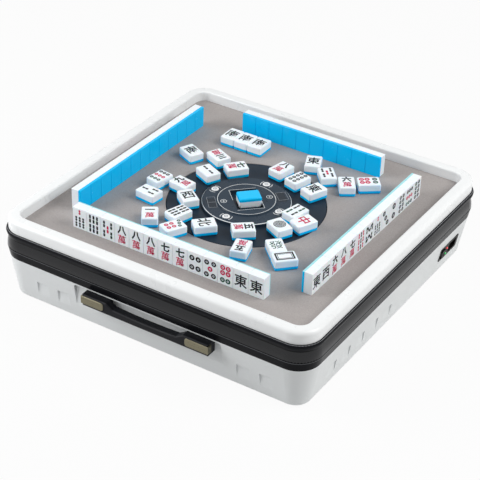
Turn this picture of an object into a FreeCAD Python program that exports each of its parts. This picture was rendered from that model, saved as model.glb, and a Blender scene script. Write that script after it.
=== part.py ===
import FreeCAD, Part
import math
import os

from FreeCAD import Rotation, Vector

# Automatic mahjong table in a portable square case.
# Millimetres. The front face, with the carry handle, looks along -Y, the power
# panel is on the right face (+X), and Z = 0 is the surface that the feet stand on.
# The case is built about its own centre and moved at the end, so that the origin
# is under the middle of the whole footprint.

# Case
CASE_HALF = 250.0
CASE_CORNER_RADIUS = 34.0
BASE_INSET = 10.0
FOOT_HEIGHT = 2.0
BASE_EDGE_RADIUS = 7.0
SHELL_WALL = 3.5
SHELL_FLOOR = 3.5
SHELL_TOP_Z = 68.4
LOWER_BAND_HEIGHT = 29.6
UPPER_BAND_HEIGHT = 12.4
FRAME_HEIGHT = 18.6
UPSTAND_HEIGHT = 27.6
UPSTAND_STEP = 5.0

# Trim bands round the waist of the case
LOWER_BAND_SWELL = 2.5
UPPER_BAND_SWELL = 3.5
BAND_GROOVE = 0.5
LOWER_BAND_EDGE_SHARE = 0.45
UPPER_BAND_NOSE_SHARE = 0.72

# Top frame
FRAME_EDGE_RADIUS = 6.0
FRAME_LIP_RADIUS = 2.5
FRAME_WIDTH = 18.0
FRAME_WALL = 3.5
LEDGE_WIDTH = 6.0

# Play surface
MAT_DEPTH = 15.4
MAT_THICKNESS = 1.6
DECK_THICKNESS = 4.0
DECK_CLEARANCE = 0.3

# Tiles
TILE_WIDTH = 23.8
TILE_LENGTH = 33.0
TILE_THICKNESS = 16.0
TILE_CHAMFER = 1.8
TILE_GAP = 0.2

# Rows of tiles: how many, how far their middle lies along the side, and how far
# their faces stand in from the outer edge of the lift
FRONT_ROW_COUNT = 13
RIGHT_ROW_COUNT = 13
BACK_ROW_COUNT = 10
LEFT_ROW_COUNT = 13
FRONT_ROW_MIDDLE = -8.0
RIGHT_ROW_MIDDLE = 9.0
BACK_ROW_MIDDLE = -1.0
LEFT_ROW_MIDDLE = -1.5
FRONT_ROW_SETBACK = 12.0
RIGHT_ROW_SETBACK = 10.0
BACK_ROW_SETBACK = 13.0
LEFT_ROW_SETBACK = 9.0

# Lifts that raise the rows of tiles
SLOT_MARGIN = 28.0
SLOT_WIDTH = 34.0
SLOT_END_GAP = 7.5
SLOT_BRIDGE = 4.5
SLOT_CLEARANCE = 0.3
LIFT_PLATE_THICKNESS = 4.6
LIFT_WEB_THICKNESS = 3.4
LIFT_WEB_INSET = 24.5
LIFT_WEB_DEPTH = 49.0
LIFT_TRAVEL = 40.0
LIFT_GUSSET_THICKNESS = 3.0
LIFT_GUSSET_SHARES = (-0.85, -0.42, 0.42, 0.85)
POST_RADIUS = 4.0
POST_OFFSET = 10.0
POST_END_INSET = 30.5
LUG_HALF = 8.0
LUG_HEIGHT = 12.0
LUG_DROP = 8.0
RUNNING_CLEARANCE = 0.05
FREE_GAP = 0.3
POINT_TOLERANCE = 0.003

# Rack and pinion
GEAR_MODULE = 1.0
PINION_TEETH = 16
PINION_Z = 57.5
PRESSURE_ANGLE = 20.0
GEAR_BACKLASH = 0.2
ADDENDUM_SHARE = 1.0
DEDENDUM_SHARE = 1.25
RACK_WIDTH = 8.0
RACK_BODY = 6.0
RACK_LENGTH = 59.0
RACK_BELOW_PINION = 9.5
PINION_SHAFT_RADIUS = 2.0
LIFT_MOTOR_RADIUS = 11.0
LIFT_MOTOR_LENGTH = 16.0
LIFT_MOTOR_GAP = 8.0
LIFT_MOTOR_BOSS_LENGTH = 4.0
MOTOR_FOOT_WIDTH = 14.0
MOTOR_FOOT_INSET = 3.5

# Centre plate and control disc
CENTRE_HOLE_RADIUS = 116.0
CENTRE_GAP = 0.6
CENTRE_PLATE_THICKNESS = 4.0
CENTRE_PLATE_BEVEL = 1.0
CENTRE_RIB_HEIGHT = 5.0
CENTRE_RIB_THICKNESS = 2.5
CENTRE_RIBS = 8
CENTRE_TRAVEL = 42.0
DISC_RADIUS = 65.0
DISC_RISE = 5.4
DISC_BEVEL = 1.6
CROWN_RADIUS = 42.6
CROWN_SLOPE = 1.2
CROWN_RISE = 2.0
HOUSING_INSET = 3.0
HOUSING_WALL = 3.0
HOUSING_HEIGHT = 18.0
HOUSING_FLANGE_WIDTH = 12.0
HOUSING_FLANGE_THICKNESS = 2.0
WELL_LENGTH = 55.0
WELL_WIDTH = 39.0
WELL_DEPTH = 6.5
WELL_CORNER_RADIUS = 2.0
WELL_TILE_X = 4.2
WELL_TILE_Y = -0.5
DISC_BODY_DEPTH = 9.0
WINDOW_LENGTH = 26.0
WINDOW_WIDTH = 13.0
WINDOW_THICKNESS = 1.0
WINDOW_INSET = 14.0
BUTTON_RADIUS = 5.5
BUTTON_INSET = 11.0
BUTTON_PROUD = 1.0
BUTTON_TRAVEL = 1.5
BUTTON_CAP_HEIGHT = 4.5
BUTTON_CHAMFER = 0.5
BUTTON_STEM_RADIUS = 2.0
BUTTON_COLLAR_RADIUS = 3.0
BUTTON_COLLAR_THICKNESS = 1.4
BUTTON_STEM_TAIL = 2.0
BUTTON_CLEARANCE = 0.1
BOARD_THICKNESS = 1.6

# Centre lift
STEM_RADIUS = 14.0
STEM_BORE_RADIUS = 7.0
STEM_FLANGE_RADIUS = 24.0
STEM_FLANGE_THICKNESS = 3.5
STEM_BOTTOM_Z = 26.0
NUT_HEIGHT = 10.0
SCREW_RADIUS = 5.0
SCREW_COLLAR_RADIUS = 7.5
SCREW_COLLAR_HEIGHT = 2.5
SLEEVE_WALL = 5.0
SLEEVE_FLANGE_RADIUS = 34.0
SLEEVE_FLANGE_THICKNESS = 3.0
SLEEVE_TOP_Z = 84.0
CENTRE_MOTOR_RADIUS = 13.0
CENTRE_MOTOR_HEIGHT = 14.5

# Shuffling drum
DRUM_SLOT_GAP = 10.0
DRUM_WALL = 3.0
DRUM_EDGE_RADIUS = 6.0
DRUM_FLOOR_Z = 26.0
DRUM_HUB_WALL = 9.0
DRUM_HUB_TOP_Z = 60.0
DRUM_BEARING_HEIGHT = 7.5
BEARING_CLEARANCE = 0.1
DRUM_VANES = 6
VANE_HEIGHT = 11.0
VANE_THICKNESS = 3.0
VANE_ARC_RADIUS = 90.0
DRUM_PULLEY_RADIUS = 100.0
DRUM_PULLEY_WALL = 8.0
BELT_Z = 17.0
BELT_WIDTH = 6.0
BELT_THICKNESS = 2.0
BELT_CLEARANCE = 0.15
DRUM_MOTOR_SHARE = 0.875
DRUM_MOTOR_RADIUS = 22.0
DRUM_MOTOR_HEIGHT = 9.0
DRUM_SHAFT_RADIUS = 3.0
MOTOR_PULLEY_RADIUS = 12.0
MOTOR_PULLEY_FLANGE = 2.0
MOTOR_PULLEY_FLANGE_THICKNESS = 1.2
PULLEY_BELT_GAP = 0.3

# Tile tracks and magnetic pick-up wheels
TRACK_DRUM_GAP = 3.0
TRACK_WIDTH = 34.0
TRACK_FLOOR_Z = 60.0
TRACK_HEIGHT = 13.0
TRACK_WALL = 2.5
TRACK_START_INSET = 14.0
TRACK_END_INSET = 46.0
TRACK_LEG_SIZE = 5.0
TRACK_LEG_INSET = 6.0
WHEEL_RADIUS = 17.0
WHEEL_WIDTH = 20.0
WHEEL_BRACKET_GAP = 4.0
WHEEL_TRACK_GAP = 5.0
WHEEL_DRUM_GAP = 0.5
WHEEL_Z = 64.0
WHEEL_SHAFT_RADIUS = 2.0
WHEEL_MAGNETS = 6
MAGNET_RADIUS = 4.0
MAGNET_DEPTH = 2.0
BRACKET_THICKNESS = 4.0
BRACKET_REACH = 10.0
WHEEL_MOTOR_RADIUS = 8.0
WHEEL_MOTOR_LENGTH = 15.0

# Electronics
BOARD_SIDE = 48.0
BOARD_WALL_GAP = 44.0
BOARD_STANDOFF = 3.0
BOARD_STANDOFF_RADIUS = 3.0
CHIP_SIDE = 12.0
CHIP_HEIGHT = 2.5
CHIP_SHARES = ((0.3, 0.3), (0.7, 0.35), (0.45, 0.72))
SUPPLY_LENGTH = 44.0
SUPPLY_WIDTH = 32.0
SUPPLY_HEIGHT = 34.0
SUPPLY_WALL_GAP = 42.0
SUPPLY_CHAMFER = 1.0

# Recessed squares on the shell
SQUARE_WIDTH = 20.0
SQUARE_HEIGHT = 24.0
SQUARE_DEPTH = 2.7
SQUARE_RUN_OUT = 0.3
SQUARE_RADIUS = 1.5
SQUARE_Z = 28.8
FRONT_SQUARE_INSETS = (68.5, 32.7)
FRONT_SQUARE_SHIFT = 4.3
SIDE_SQUARE_INSET = 45.8
SIDE_SQUARE_PITCH = 38.6
SIDE_SQUARE_COUNT = 5

# Carry handle
POCKET_END_GAP = 18.0
POCKET_BOTTOM_Z = 27.0
POCKET_TOP_Z = 66.0
POCKET_DEPTH = 6.5
POCKET_RADIUS = 5.0
POCKET_PAD = 3.5
POCKET_PAD_FRAME = 4.0
HANDLE_PROUD = 11.4
HANDLE_THICKNESS = 11.4
HANDLE_MIDDLE = 5.0
HANDLE_HALF_LENGTH = 102.5
HANDLE_BOTTOM_Z = 47.0
HANDLE_BLOCK_TOP_Z = 65.0
HANDLE_GRIP_TOP_Z = 58.5
HANDLE_DIP = 1.5
HANDLE_BLOCK_WIDTH = 40.0
HANDLE_SHOULDER = 11.0
HANDLE_CHAMFER = 1.5
HANDLE_TRAVEL = 17.5
END_PLATE_THICKNESS = 1.4
END_PLATE_EDGE_RADIUS = 1.1
END_PLATE_CORNER_RADIUS = 4.0
END_PLATE_LENGTH = 36.0
END_PLATE_WRAP = 7.0
END_PLATE_BOTTOM_Z = 51.0
END_PLATE_TOP_Z = 63.2
ROD_RADIUS = 4.0
ROD_SPREAD = 82.0
ROD_Z = 56.0
ROD_GRIP_DEPTH = 10.0
ROD_COLLAR_RADIUS = 6.5
ROD_COLLAR_THICKNESS = 3.0
BUSH_RADIUS = 8.0
BUSH_LENGTH = 6.0
STOP_CLEARANCE = 0.5

# Power panel
PANEL_CORNER_GAP = 15.0
PANEL_LENGTH = 58.0
PANEL_BOTTOM_Z = 27.0
PANEL_HEIGHT = 23.0
PANEL_FLANGE = 1.5
PANEL_PROUD = 0.8
PANEL_RADIUS = 3.0
PANEL_DEPTH = 22.0
PANEL_WALL = 1.6
LAMP_RADIUS = 1.6
LAMP_PITCH = 10.0
LAMP_PLACE = 20.5
ROCKER_PLACE = 9.5
ROCKER_WIDTH = 9.0
ROCKER_HEIGHT = 14.0
ROCKER_DEPTH = 5.0
ROCKER_CLEARANCE = 0.6
ROCKER_PROUD = 0.6
ROCKER_DISH = 1.2
ROCKER_PIN_RADIUS = 1.2
ROCKER_PIN_REACH = 1.0
PIN_END_CLEARANCE = 0.1
INLET_PLACE = 40.0
INLET_WIDTH = 24.0
INLET_HEIGHT = 16.0
INLET_DEPTH = 15.0
INLET_RADIUS = 3.0
INLET_PIN_WIDTH = 2.0
INLET_PIN_HEIGHT = 4.0
INLET_PIN_LENGTH = 9.5
INLET_PIN_PITCH = 7.0
INLET_PIN_RISE = 2.0

# Feet and screws
FOOT_RADIUS = 12.0
FOOT_INSET = 40.0
SCREW_HEAD_RADIUS = 3.3
SCREW_SHANK_RADIUS = 1.6
SCREW_HEAD_HEIGHT = 1.6
SCREW_LENGTH = 14.0
SCREW_CLEARANCE = 0.05
COUNTERBORE_CLEARANCE = 0.3
DECK_SCREW_LENGTH = 6.5
DECK_SCREW_END_INSET = 42.0

# One overrun for every cut
OVERRUN = 5.0

# Loose tiles: place as shares of the play field's half side, and turn in degrees
MAT_TILE_SHARES = (
    (-0.588, 0.261, 66), (-0.564, -0.128, -8), (-0.517, -0.308, 84), (-0.362, -0.520, 34),
    (-0.168, -0.555, -27), (0.128, 0.597, 23), (0.275, 0.516, 41), (0.434, 0.487, 34),
    (0.540, 0.580, -52), (0.284, -0.510, 16), (0.449, -0.387, 46), (0.552, -0.461, -44),
)
PLATE_TILE_SHARES = (
    (-0.412, 0.312, 65), (-0.357, 0.109, 65), (-0.409, -0.103, 81), (-0.289, -0.218, 53),
    (-0.233, -0.403, -17), (-0.032, -0.424, -44), (-0.242, 0.257, -40), (0.184, -0.330, -50),
    (0.003, 0.407, -11), (0.154, 0.357, -16), (0.304, 0.301, -22), (0.344, 0.010, -13),
    (0.443, -0.059, -24), (0.347, -0.181, 63),
)
TRIO_SHARES = (-0.384, 0.596)
TRIO_TURN = 0
WELL_TILE_TURN = -44.4

# Levels and places worked out from the sizes above
UPPER_BAND_Z = SHELL_TOP_Z + LOWER_BAND_HEIGHT
FRAME_Z = UPPER_BAND_Z + UPPER_BAND_HEIGHT
FRAME_TOP_Z = FRAME_Z + FRAME_HEIGHT
MAT_TOP_Z = FRAME_TOP_Z - MAT_DEPTH
DECK_TOP_Z = MAT_TOP_Z - MAT_THICKNESS
DECK_Z = DECK_TOP_Z - DECK_THICKNESS
LEDGE_Z = DECK_Z - FRAME_WALL
FLOOR_Z = FOOT_HEIGHT + SHELL_FLOOR
BASE_HALF = CASE_HALF - BASE_INSET
STRAIGHT_HALF = CASE_HALF - CASE_CORNER_RADIUS
FRAME_INNER = CASE_HALF - FRAME_WIDTH
DECK_HALF = FRAME_INNER - DECK_CLEARANCE
DECK_SCREW_PLACE = FRAME_INNER - LEDGE_WIDTH / 2
DECK_SCREW_SPREAD = FRAME_INNER - DECK_SCREW_END_INSET
SLOT_OUTER = FRAME_INNER - SLOT_MARGIN
SLOT_INNER = SLOT_OUTER - SLOT_WIDTH
SLOT_LONG_END = FRAME_INNER - SLOT_END_GAP
SLOT_SHORT_END = SLOT_INNER - SLOT_BRIDGE
UPSTAND_OUTER = CASE_HALF - UPSTAND_STEP
UPSTAND_INNER = UPSTAND_OUTER - SHELL_WALL
UPSTAND_TOP_Z = SHELL_TOP_Z + UPSTAND_HEIGHT
BASE_EDGE_Z = FOOT_HEIGHT + BASE_EDGE_RADIUS
DISC_TOP_Z = MAT_TOP_Z + DISC_RISE
DISC_BODY_Z = DISC_TOP_Z - DISC_BODY_DEPTH
HOUSING_RADIUS = DISC_RADIUS - HOUSING_INSET
HOUSING_Z = DISC_BODY_Z - HOUSING_HEIGHT
WINDOW_RADIUS = DISC_RADIUS - WINDOW_INSET
BUTTON_CIRCLE = DISC_RADIUS - BUTTON_INSET
CROWN_TOP_Z = DISC_TOP_Z + CROWN_RISE
WELL_FLOOR_Z = CROWN_TOP_Z - WELL_DEPTH
CENTRE_PLATE_Z = MAT_TOP_Z - CENTRE_PLATE_THICKNESS
DRUM_RADIUS = SLOT_INNER - DRUM_SLOT_GAP
DRUM_RIM_Z = WHEEL_Z - WHEEL_RADIUS - WHEEL_DRUM_GAP
DRUM_MOTOR_PLACE = DRUM_RADIUS * DRUM_MOTOR_SHARE
TRACK_OUTER = DRUM_RADIUS + TRACK_DRUM_GAP + TRACK_LEG_SIZE
TRACK_INNER = TRACK_OUTER - TRACK_WIDTH
TRACK_START = TRACK_INNER - TRACK_START_INSET
TRACK_END = TRACK_INNER - TRACK_END_INSET
TRACK_LEG_SPREAD = TRACK_END - TRACK_LEG_INSET
WHEEL_START = TRACK_END - BRACKET_THICKNESS - WHEEL_BRACKET_GAP - WHEEL_WIDTH
WHEEL_OFFSET = TRACK_INNER - WHEEL_RADIUS - WHEEL_TRACK_GAP
BOARD_CORNER = BASE_HALF - BOARD_WALL_GAP
SUPPLY_CORNER = BASE_HALF - SUPPLY_WALL_GAP
FOOT_PLACE = BASE_HALF - FOOT_INSET
POCKET_HALF_WIDTH = HANDLE_HALF_LENGTH + POCKET_END_GAP
POCKET_BACK = CASE_HALF - POCKET_DEPTH
HANDLE_FRONT = CASE_HALF + HANDLE_PROUD
PANEL_START = STRAIGHT_HALF - PANEL_CORNER_GAP - PANEL_LENGTH
PINION_RADIUS = GEAR_MODULE * PINION_TEETH / 2
WALL_SLOPE = math.degrees(math.atan2(CASE_HALF - BASE_HALF, SHELL_TOP_Z - BASE_EDGE_Z))
FOOTPRINT_SHIFT = (HANDLE_FRONT + END_PLATE_THICKNESS - CASE_HALF - UPPER_BAND_SWELL) / 2

UP = Vector(0, 0, 1)
ALONG_X = Vector(1, 0, 0)
ALONG_Y = Vector(0, 1, 0)
ORIGIN = Vector(0, 0, 0)
SIDES = ("front", "right", "back", "left")
RIGHT_ANGLE = 90.0


# Plain shapes

def block(x0, x1, y0, y1, z0, z1):
    return Part.makeBox(x1 - x0, y1 - y0, z1 - z0, Vector(x0, y0, z0))


def rod(radius, start, length, axis=UP):
    return Part.makeCylinder(radius, length, start, axis)


def tube(outer, inner, start, length, axis=UP):
    return rod(outer, start, length, axis).cut(rod(inner, start, length, axis))


def about_z(shape, degrees):
    turned = shape.copy()
    turned.rotate(ORIGIN, UP, degrees)
    return turned


def moved(shape, x, y, z):
    copy = shape.copy()
    copy.translate(Vector(x, y, z))
    return copy


def quarter(centre, radius, start_degrees, turn_degrees):
    """Middle and end of an arc about centre, as one step of an outline."""
    points = []
    for share in (0.5, 1):
        angle = math.radians(start_degrees + turn_degrees * share)
        points.append((centre[0] + radius * math.cos(angle), centre[1] + radius * math.sin(angle)))
    return tuple(points)


def rounded_steps(half_x, half_y, radius):
    """Outline of a rounded rectangle about the origin, anticlockwise."""
    inner_x = half_x - radius
    inner_y = half_y - radius
    return [
        (-inner_x, -half_y),
        (inner_x, -half_y),
        quarter((inner_x, -inner_y), radius, -90, 90),
        (half_x, inner_y),
        quarter((inner_x, inner_y), radius, 0, 90),
        (-inner_x, half_y),
        quarter((-inner_x, inner_y), radius, 90, 90),
        (-half_x, -inner_y),
        quarter((-inner_x, -inner_y), radius, 180, 90),
    ]


def outline(steps, place):
    """Closed wire through steps: a point, or an arc given as (middle, end)."""
    edges = []
    here = place(*steps[0])
    first = steps[0]
    last = steps[0]
    for step in steps[1:]:
        if isinstance(step[0], tuple):
            there = place(*step[1])
            edges.append(Part.Arc(here, place(*step[0]), there).toShape())
            last = step[1]
        else:
            there = place(*step)
            edges.append(Part.LineSegment(here, there).toShape())
            last = step
        here = there
    if math.dist(last, first) > POINT_TOLERANCE:
        edges.append(Part.LineSegment(here, place(*first)).toShape())
    return Part.Wire(edges)


def flat_at(z):
    return lambda x, y: Vector(x, y, z)


def rounded_plate(half_x, half_y, radius, z0, z1):
    wire = outline(rounded_steps(half_x, half_y, radius), flat_at(z0))
    return Part.Face(wire).extrude(Vector(0, 0, z1 - z0))


def corner_radius_at(half):
    """Corner radius of the case's outline at a given half side."""
    return CASE_CORNER_RADIUS - (CASE_HALF - half)


def case_ring(steps):
    """Sweep a section of (half side, height) points round the square case."""
    section = outline(steps, lambda half, z: Vector(0, -half, z))
    inner = STRAIGHT_HALF
    path_steps = [
        (0, -CASE_HALF),
        (inner, -CASE_HALF),
        quarter((inner, -inner), CASE_CORNER_RADIUS, -90, 90),
        (CASE_HALF, inner),
        quarter((inner, inner), CASE_CORNER_RADIUS, 0, 90),
        (-inner, CASE_HALF),
        quarter((-inner, inner), CASE_CORNER_RADIUS, 90, 90),
        (-CASE_HALF, -inner),
        quarter((-inner, -inner), CASE_CORNER_RADIUS, 180, 90),
    ]
    path = outline(path_steps, flat_at(0))
    return path.makePipeShell([section], True, False)


def wall_half_at(z):
    """Half side of the sloping outer wall of the lower shell at height z."""
    share = (z - BASE_EDGE_Z) / (SHELL_TOP_Z - BASE_EDGE_Z)
    return BASE_HALF + (CASE_HALF - BASE_HALF) * share


def on_wall(shape, side, along, z):
    """Place a shape drawn with X along the wall, Y up it and Z out of it."""
    placed = shape.copy()
    placed.rotate(ORIGIN, ALONG_X, RIGHT_ANGLE + WALL_SLOPE)
    placed.translate(Vector(along, -wall_half_at(z), z))
    placed.rotate(ORIGIN, UP, RIGHT_ANGLE * side)
    return placed


# Case

def lower_shell():
    base_round = BASE_HALF - BASE_EDGE_RADIUS
    inner_base = BASE_HALF - SHELL_WALL
    inner_top = CASE_HALF - SHELL_WALL - FREE_GAP
    wall = case_ring([
        (base_round, FOOT_HEIGHT),
        quarter((base_round, BASE_EDGE_Z), BASE_EDGE_RADIUS, -90, 90),
        (CASE_HALF, SHELL_TOP_Z),
        (UPSTAND_OUTER, SHELL_TOP_Z),
        (UPSTAND_OUTER, UPSTAND_TOP_Z),
        (UPSTAND_INNER, UPSTAND_TOP_Z),
        (UPSTAND_INNER, SHELL_TOP_Z - SHELL_WALL / 2),
        (inner_top, SHELL_TOP_Z - UPSTAND_STEP - SHELL_WALL / 2),
        (inner_base, BASE_EDGE_Z),
        (base_round, FLOOR_Z),
    ])
    floor = rounded_plate(base_round, base_round, corner_radius_at(base_round), FOOT_HEIGHT, FLOOR_Z)
    pad = block(
        -POCKET_HALF_WIDTH - POCKET_PAD_FRAME, POCKET_HALF_WIDTH + POCKET_PAD_FRAME,
        -POCKET_BACK, -POCKET_BACK + POCKET_PAD,
        POCKET_BOTTOM_Z + POCKET_PAD_FRAME, SHELL_TOP_Z,
    )
    shell = wall.fuse([floor, pad]).removeSplitter()
    cuts = [handle_pocket()]
    for side, along in square_places():
        cuts.append(on_wall(square_cutter(), side, along, SQUARE_Z))
    cuts.append(panel_opening())
    for x, y in post_places():
        cuts.append(rod(SCREW_SHANK_RADIUS + COUNTERBORE_CLEARANCE, Vector(x, y, 0), FLOOR_Z + OVERRUN))
        cuts.append(rod(SCREW_HEAD_RADIUS + COUNTERBORE_CLEARANCE, Vector(x, y, 0),
                        FOOT_HEIGHT + SCREW_HEAD_HEIGHT + COUNTERBORE_CLEARANCE))
    for x in rod_places():
        cuts.append(rod(ROD_RADIUS + COUNTERBORE_CLEARANCE, Vector(x, -CASE_HALF, ROD_Z),
                        CASE_HALF - POCKET_BACK + POCKET_PAD + OVERRUN, ALONG_Y))
    shell = shell.cut(cuts)
    standoffs = []
    for x, y in board_corners():
        standoffs.append(rod(BOARD_STANDOFF_RADIUS, Vector(x, y, FLOOR_Z), BOARD_STANDOFF))
    return shell.fuse(standoffs)


def handle_pocket():
    middle_z = (POCKET_BOTTOM_Z + POCKET_TOP_Z) / 2
    steps = rounded_steps(POCKET_HALF_WIDTH, (POCKET_TOP_Z - POCKET_BOTTOM_Z) / 2, POCKET_RADIUS)
    wire = outline(steps, lambda x, z: Vector(x, -POCKET_BACK, middle_z + z))
    return Part.Face(wire).extrude(Vector(0, -CASE_HALF + POCKET_BACK - OVERRUN, 0))


def square_places():
    """Side number and place along it of each recessed square."""
    places = []
    for side in (0, 2):
        for inset in FRONT_SQUARE_INSETS:
            places.append((side, FRONT_SQUARE_SHIFT + STRAIGHT_HALF - inset))
            places.append((side, FRONT_SQUARE_SHIFT + inset - STRAIGHT_HALF))
    for number in range(SIDE_SQUARE_COUNT):
        along = SIDE_SQUARE_INSET - STRAIGHT_HALF + SIDE_SQUARE_PITCH * number
        places.append((1, along))
        places.append((3, -along))
    return places


def square_cutter():
    """A recess that is deepest along its top edge and runs out above its lower edge."""
    half_x = SQUARE_WIDTH / 2
    half_y = SQUARE_HEIGHT / 2
    steps = rounded_steps(half_x, half_y, SQUARE_RADIUS)
    face = Part.Face(outline(steps, flat_at(-SQUARE_DEPTH)))
    prism = face.extrude(Vector(0, 0, SQUARE_DEPTH + OVERRUN))
    wedge_steps = [
        (-half_y, SQUARE_RUN_OUT),
        (half_y, -SQUARE_DEPTH),
        (half_y, OVERRUN),
        (-half_y, OVERRUN),
    ]
    wedge = Part.Face(outline(wedge_steps, lambda y, z: Vector(-half_x, y, z)))
    return prism.common(wedge.extrude(Vector(SQUARE_WIDTH, 0, 0)))


def lower_band():
    low = SHELL_TOP_Z
    edge_z = low + LOWER_BAND_HEIGHT * LOWER_BAND_EDGE_SHARE
    swell = CASE_HALF + LOWER_BAND_SWELL
    groove = CASE_HALF - BAND_GROOVE
    middle = (swell - BAND_GROOVE, (edge_z + UPPER_BAND_Z) / 2)
    return case_ring([
        (UPSTAND_OUTER, low),
        (CASE_HALF, low),
        (swell, edge_z),
        (middle, (groove, UPPER_BAND_Z)),
        (UPSTAND_OUTER, UPPER_BAND_Z),
    ])


def upper_band():
    nose_z = UPPER_BAND_Z + UPPER_BAND_HEIGHT * UPPER_BAND_NOSE_SHARE
    nose = CASE_HALF + UPPER_BAND_SWELL
    groove = CASE_HALF - BAND_GROOVE
    lower_middle = (nose - UPPER_BAND_SWELL / 3, (UPPER_BAND_Z + nose_z) / 2)
    upper_middle = (nose - UPPER_BAND_SWELL / 6, (nose_z + FRAME_Z) / 2)
    return case_ring([
        (UPSTAND_OUTER, UPPER_BAND_Z),
        (groove, UPPER_BAND_Z),
        (lower_middle, (nose, nose_z)),
        (upper_middle, (CASE_HALF + UPPER_BAND_SWELL / 2, FRAME_Z)),
        (UPSTAND_OUTER, FRAME_Z),
    ])


def top_frame():
    outer_round = CASE_HALF - FRAME_EDGE_RADIUS
    lip_round = FRAME_INNER + FRAME_LIP_RADIUS
    skirt = UPSTAND_OUTER - FRAME_WALL + BAND_GROOVE
    hollow_inner = FRAME_INNER + FRAME_WALL
    frame = case_ring([
        (skirt, UPSTAND_TOP_Z),
        (UPSTAND_OUTER, UPSTAND_TOP_Z),
        (UPSTAND_OUTER, FRAME_Z),
        (CASE_HALF, FRAME_Z),
        (CASE_HALF, FRAME_TOP_Z - FRAME_EDGE_RADIUS),
        quarter((outer_round, FRAME_TOP_Z - FRAME_EDGE_RADIUS), FRAME_EDGE_RADIUS, 0, 90),
        (lip_round, FRAME_TOP_Z),
        quarter((lip_round, FRAME_TOP_Z - FRAME_LIP_RADIUS), FRAME_LIP_RADIUS, 90, 90),
        (FRAME_INNER, DECK_Z),
        (FRAME_INNER - LEDGE_WIDTH, DECK_Z),
        (FRAME_INNER - LEDGE_WIDTH, LEDGE_Z),
        (hollow_inner, LEDGE_Z),
        (hollow_inner, FRAME_TOP_Z - FRAME_WALL),
        (CASE_HALF - FRAME_WALL, FRAME_TOP_Z - FRAME_WALL - FRAME_EDGE_RADIUS / 2),
        (CASE_HALF - FRAME_WALL, FRAME_Z + FRAME_WALL),
        (skirt, FRAME_Z + FRAME_WALL),
    ])
    holes = []
    for x, y in deck_screw_places():
        holes.append(rod(SCREW_SHANK_RADIUS + SCREW_CLEARANCE, Vector(x, y, LEDGE_Z - OVERRUN),
                         FRAME_WALL + OVERRUN + OVERRUN))
    return frame.cut(holes)


def rubber_feet():
    feet = []
    for x in (-FOOT_PLACE, FOOT_PLACE):
        for y in (-FOOT_PLACE, FOOT_PLACE):
            foot = Part.makeCone(FOOT_RADIUS - FREE_GAP, FOOT_RADIUS, FOOT_HEIGHT)
            feet.append(moved(foot, x, y, 0))
    return feet


# Play surface

def slot_cutter(side, margin, z0, z1):
    """The opening of one lift, larger than its plate by the margin."""
    cutter = block(
        -SLOT_LONG_END + SLOT_CLEARANCE - margin, SLOT_SHORT_END - SLOT_CLEARANCE + margin,
        -SLOT_OUTER + SLOT_CLEARANCE - margin, -SLOT_INNER - SLOT_CLEARANCE + margin,
        z0, z1,
    )
    return about_z(cutter, RIGHT_ANGLE * side)


def pierced_sheet(z0, z1):
    sheet = rounded_plate(DECK_HALF, DECK_HALF, corner_radius_at(DECK_HALF), z0, z1)
    cuts = [rod(CENTRE_HOLE_RADIUS, Vector(0, 0, z0 - OVERRUN), z1 - z0 + OVERRUN + OVERRUN)]
    for side in range(4):
        cuts.append(slot_cutter(side, SLOT_CLEARANCE, z0 - OVERRUN, z1 + OVERRUN))
    return sheet.cut(cuts)


def deck_board():
    board = pierced_sheet(DECK_Z, DECK_TOP_Z)
    holes = []
    for x, y in deck_screw_places():
        holes.append(rod(SCREW_SHANK_RADIUS + SCREW_CLEARANCE, Vector(x, y, DECK_Z - OVERRUN),
                         OVERRUN + DECK_SCREW_LENGTH - FRAME_WALL + SCREW_CLEARANCE))
    return board.cut(holes)


def play_mat():
    return pierced_sheet(DECK_TOP_Z, MAT_TOP_Z)


# Lifts, each modelled at the front and turned to its side

def lift_middle():
    return (SLOT_SHORT_END - SLOT_LONG_END) / 2


def lift_half_web():
    return (SLOT_SHORT_END + SLOT_LONG_END) / 2 - LIFT_WEB_INSET


def post_spread():
    return lift_half_web() - POST_END_INSET


def web_outer():
    return -SLOT_OUTER + SLOT_CLEARANCE


def post_y():
    return -SLOT_OUTER - POST_OFFSET


def post_places():
    places = []
    for side in range(4):
        for direction in (-1, 1):
            point = Vector(lift_middle() + post_spread() * direction, post_y(), 0)
            turned = Rotation(UP, RIGHT_ANGLE * side).multVec(point)
            places.append((turned.x, turned.y))
    return places


def pinion_x():
    return lift_middle()


def rack_pitch_x():
    return pinion_x() - PINION_RADIUS


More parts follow.
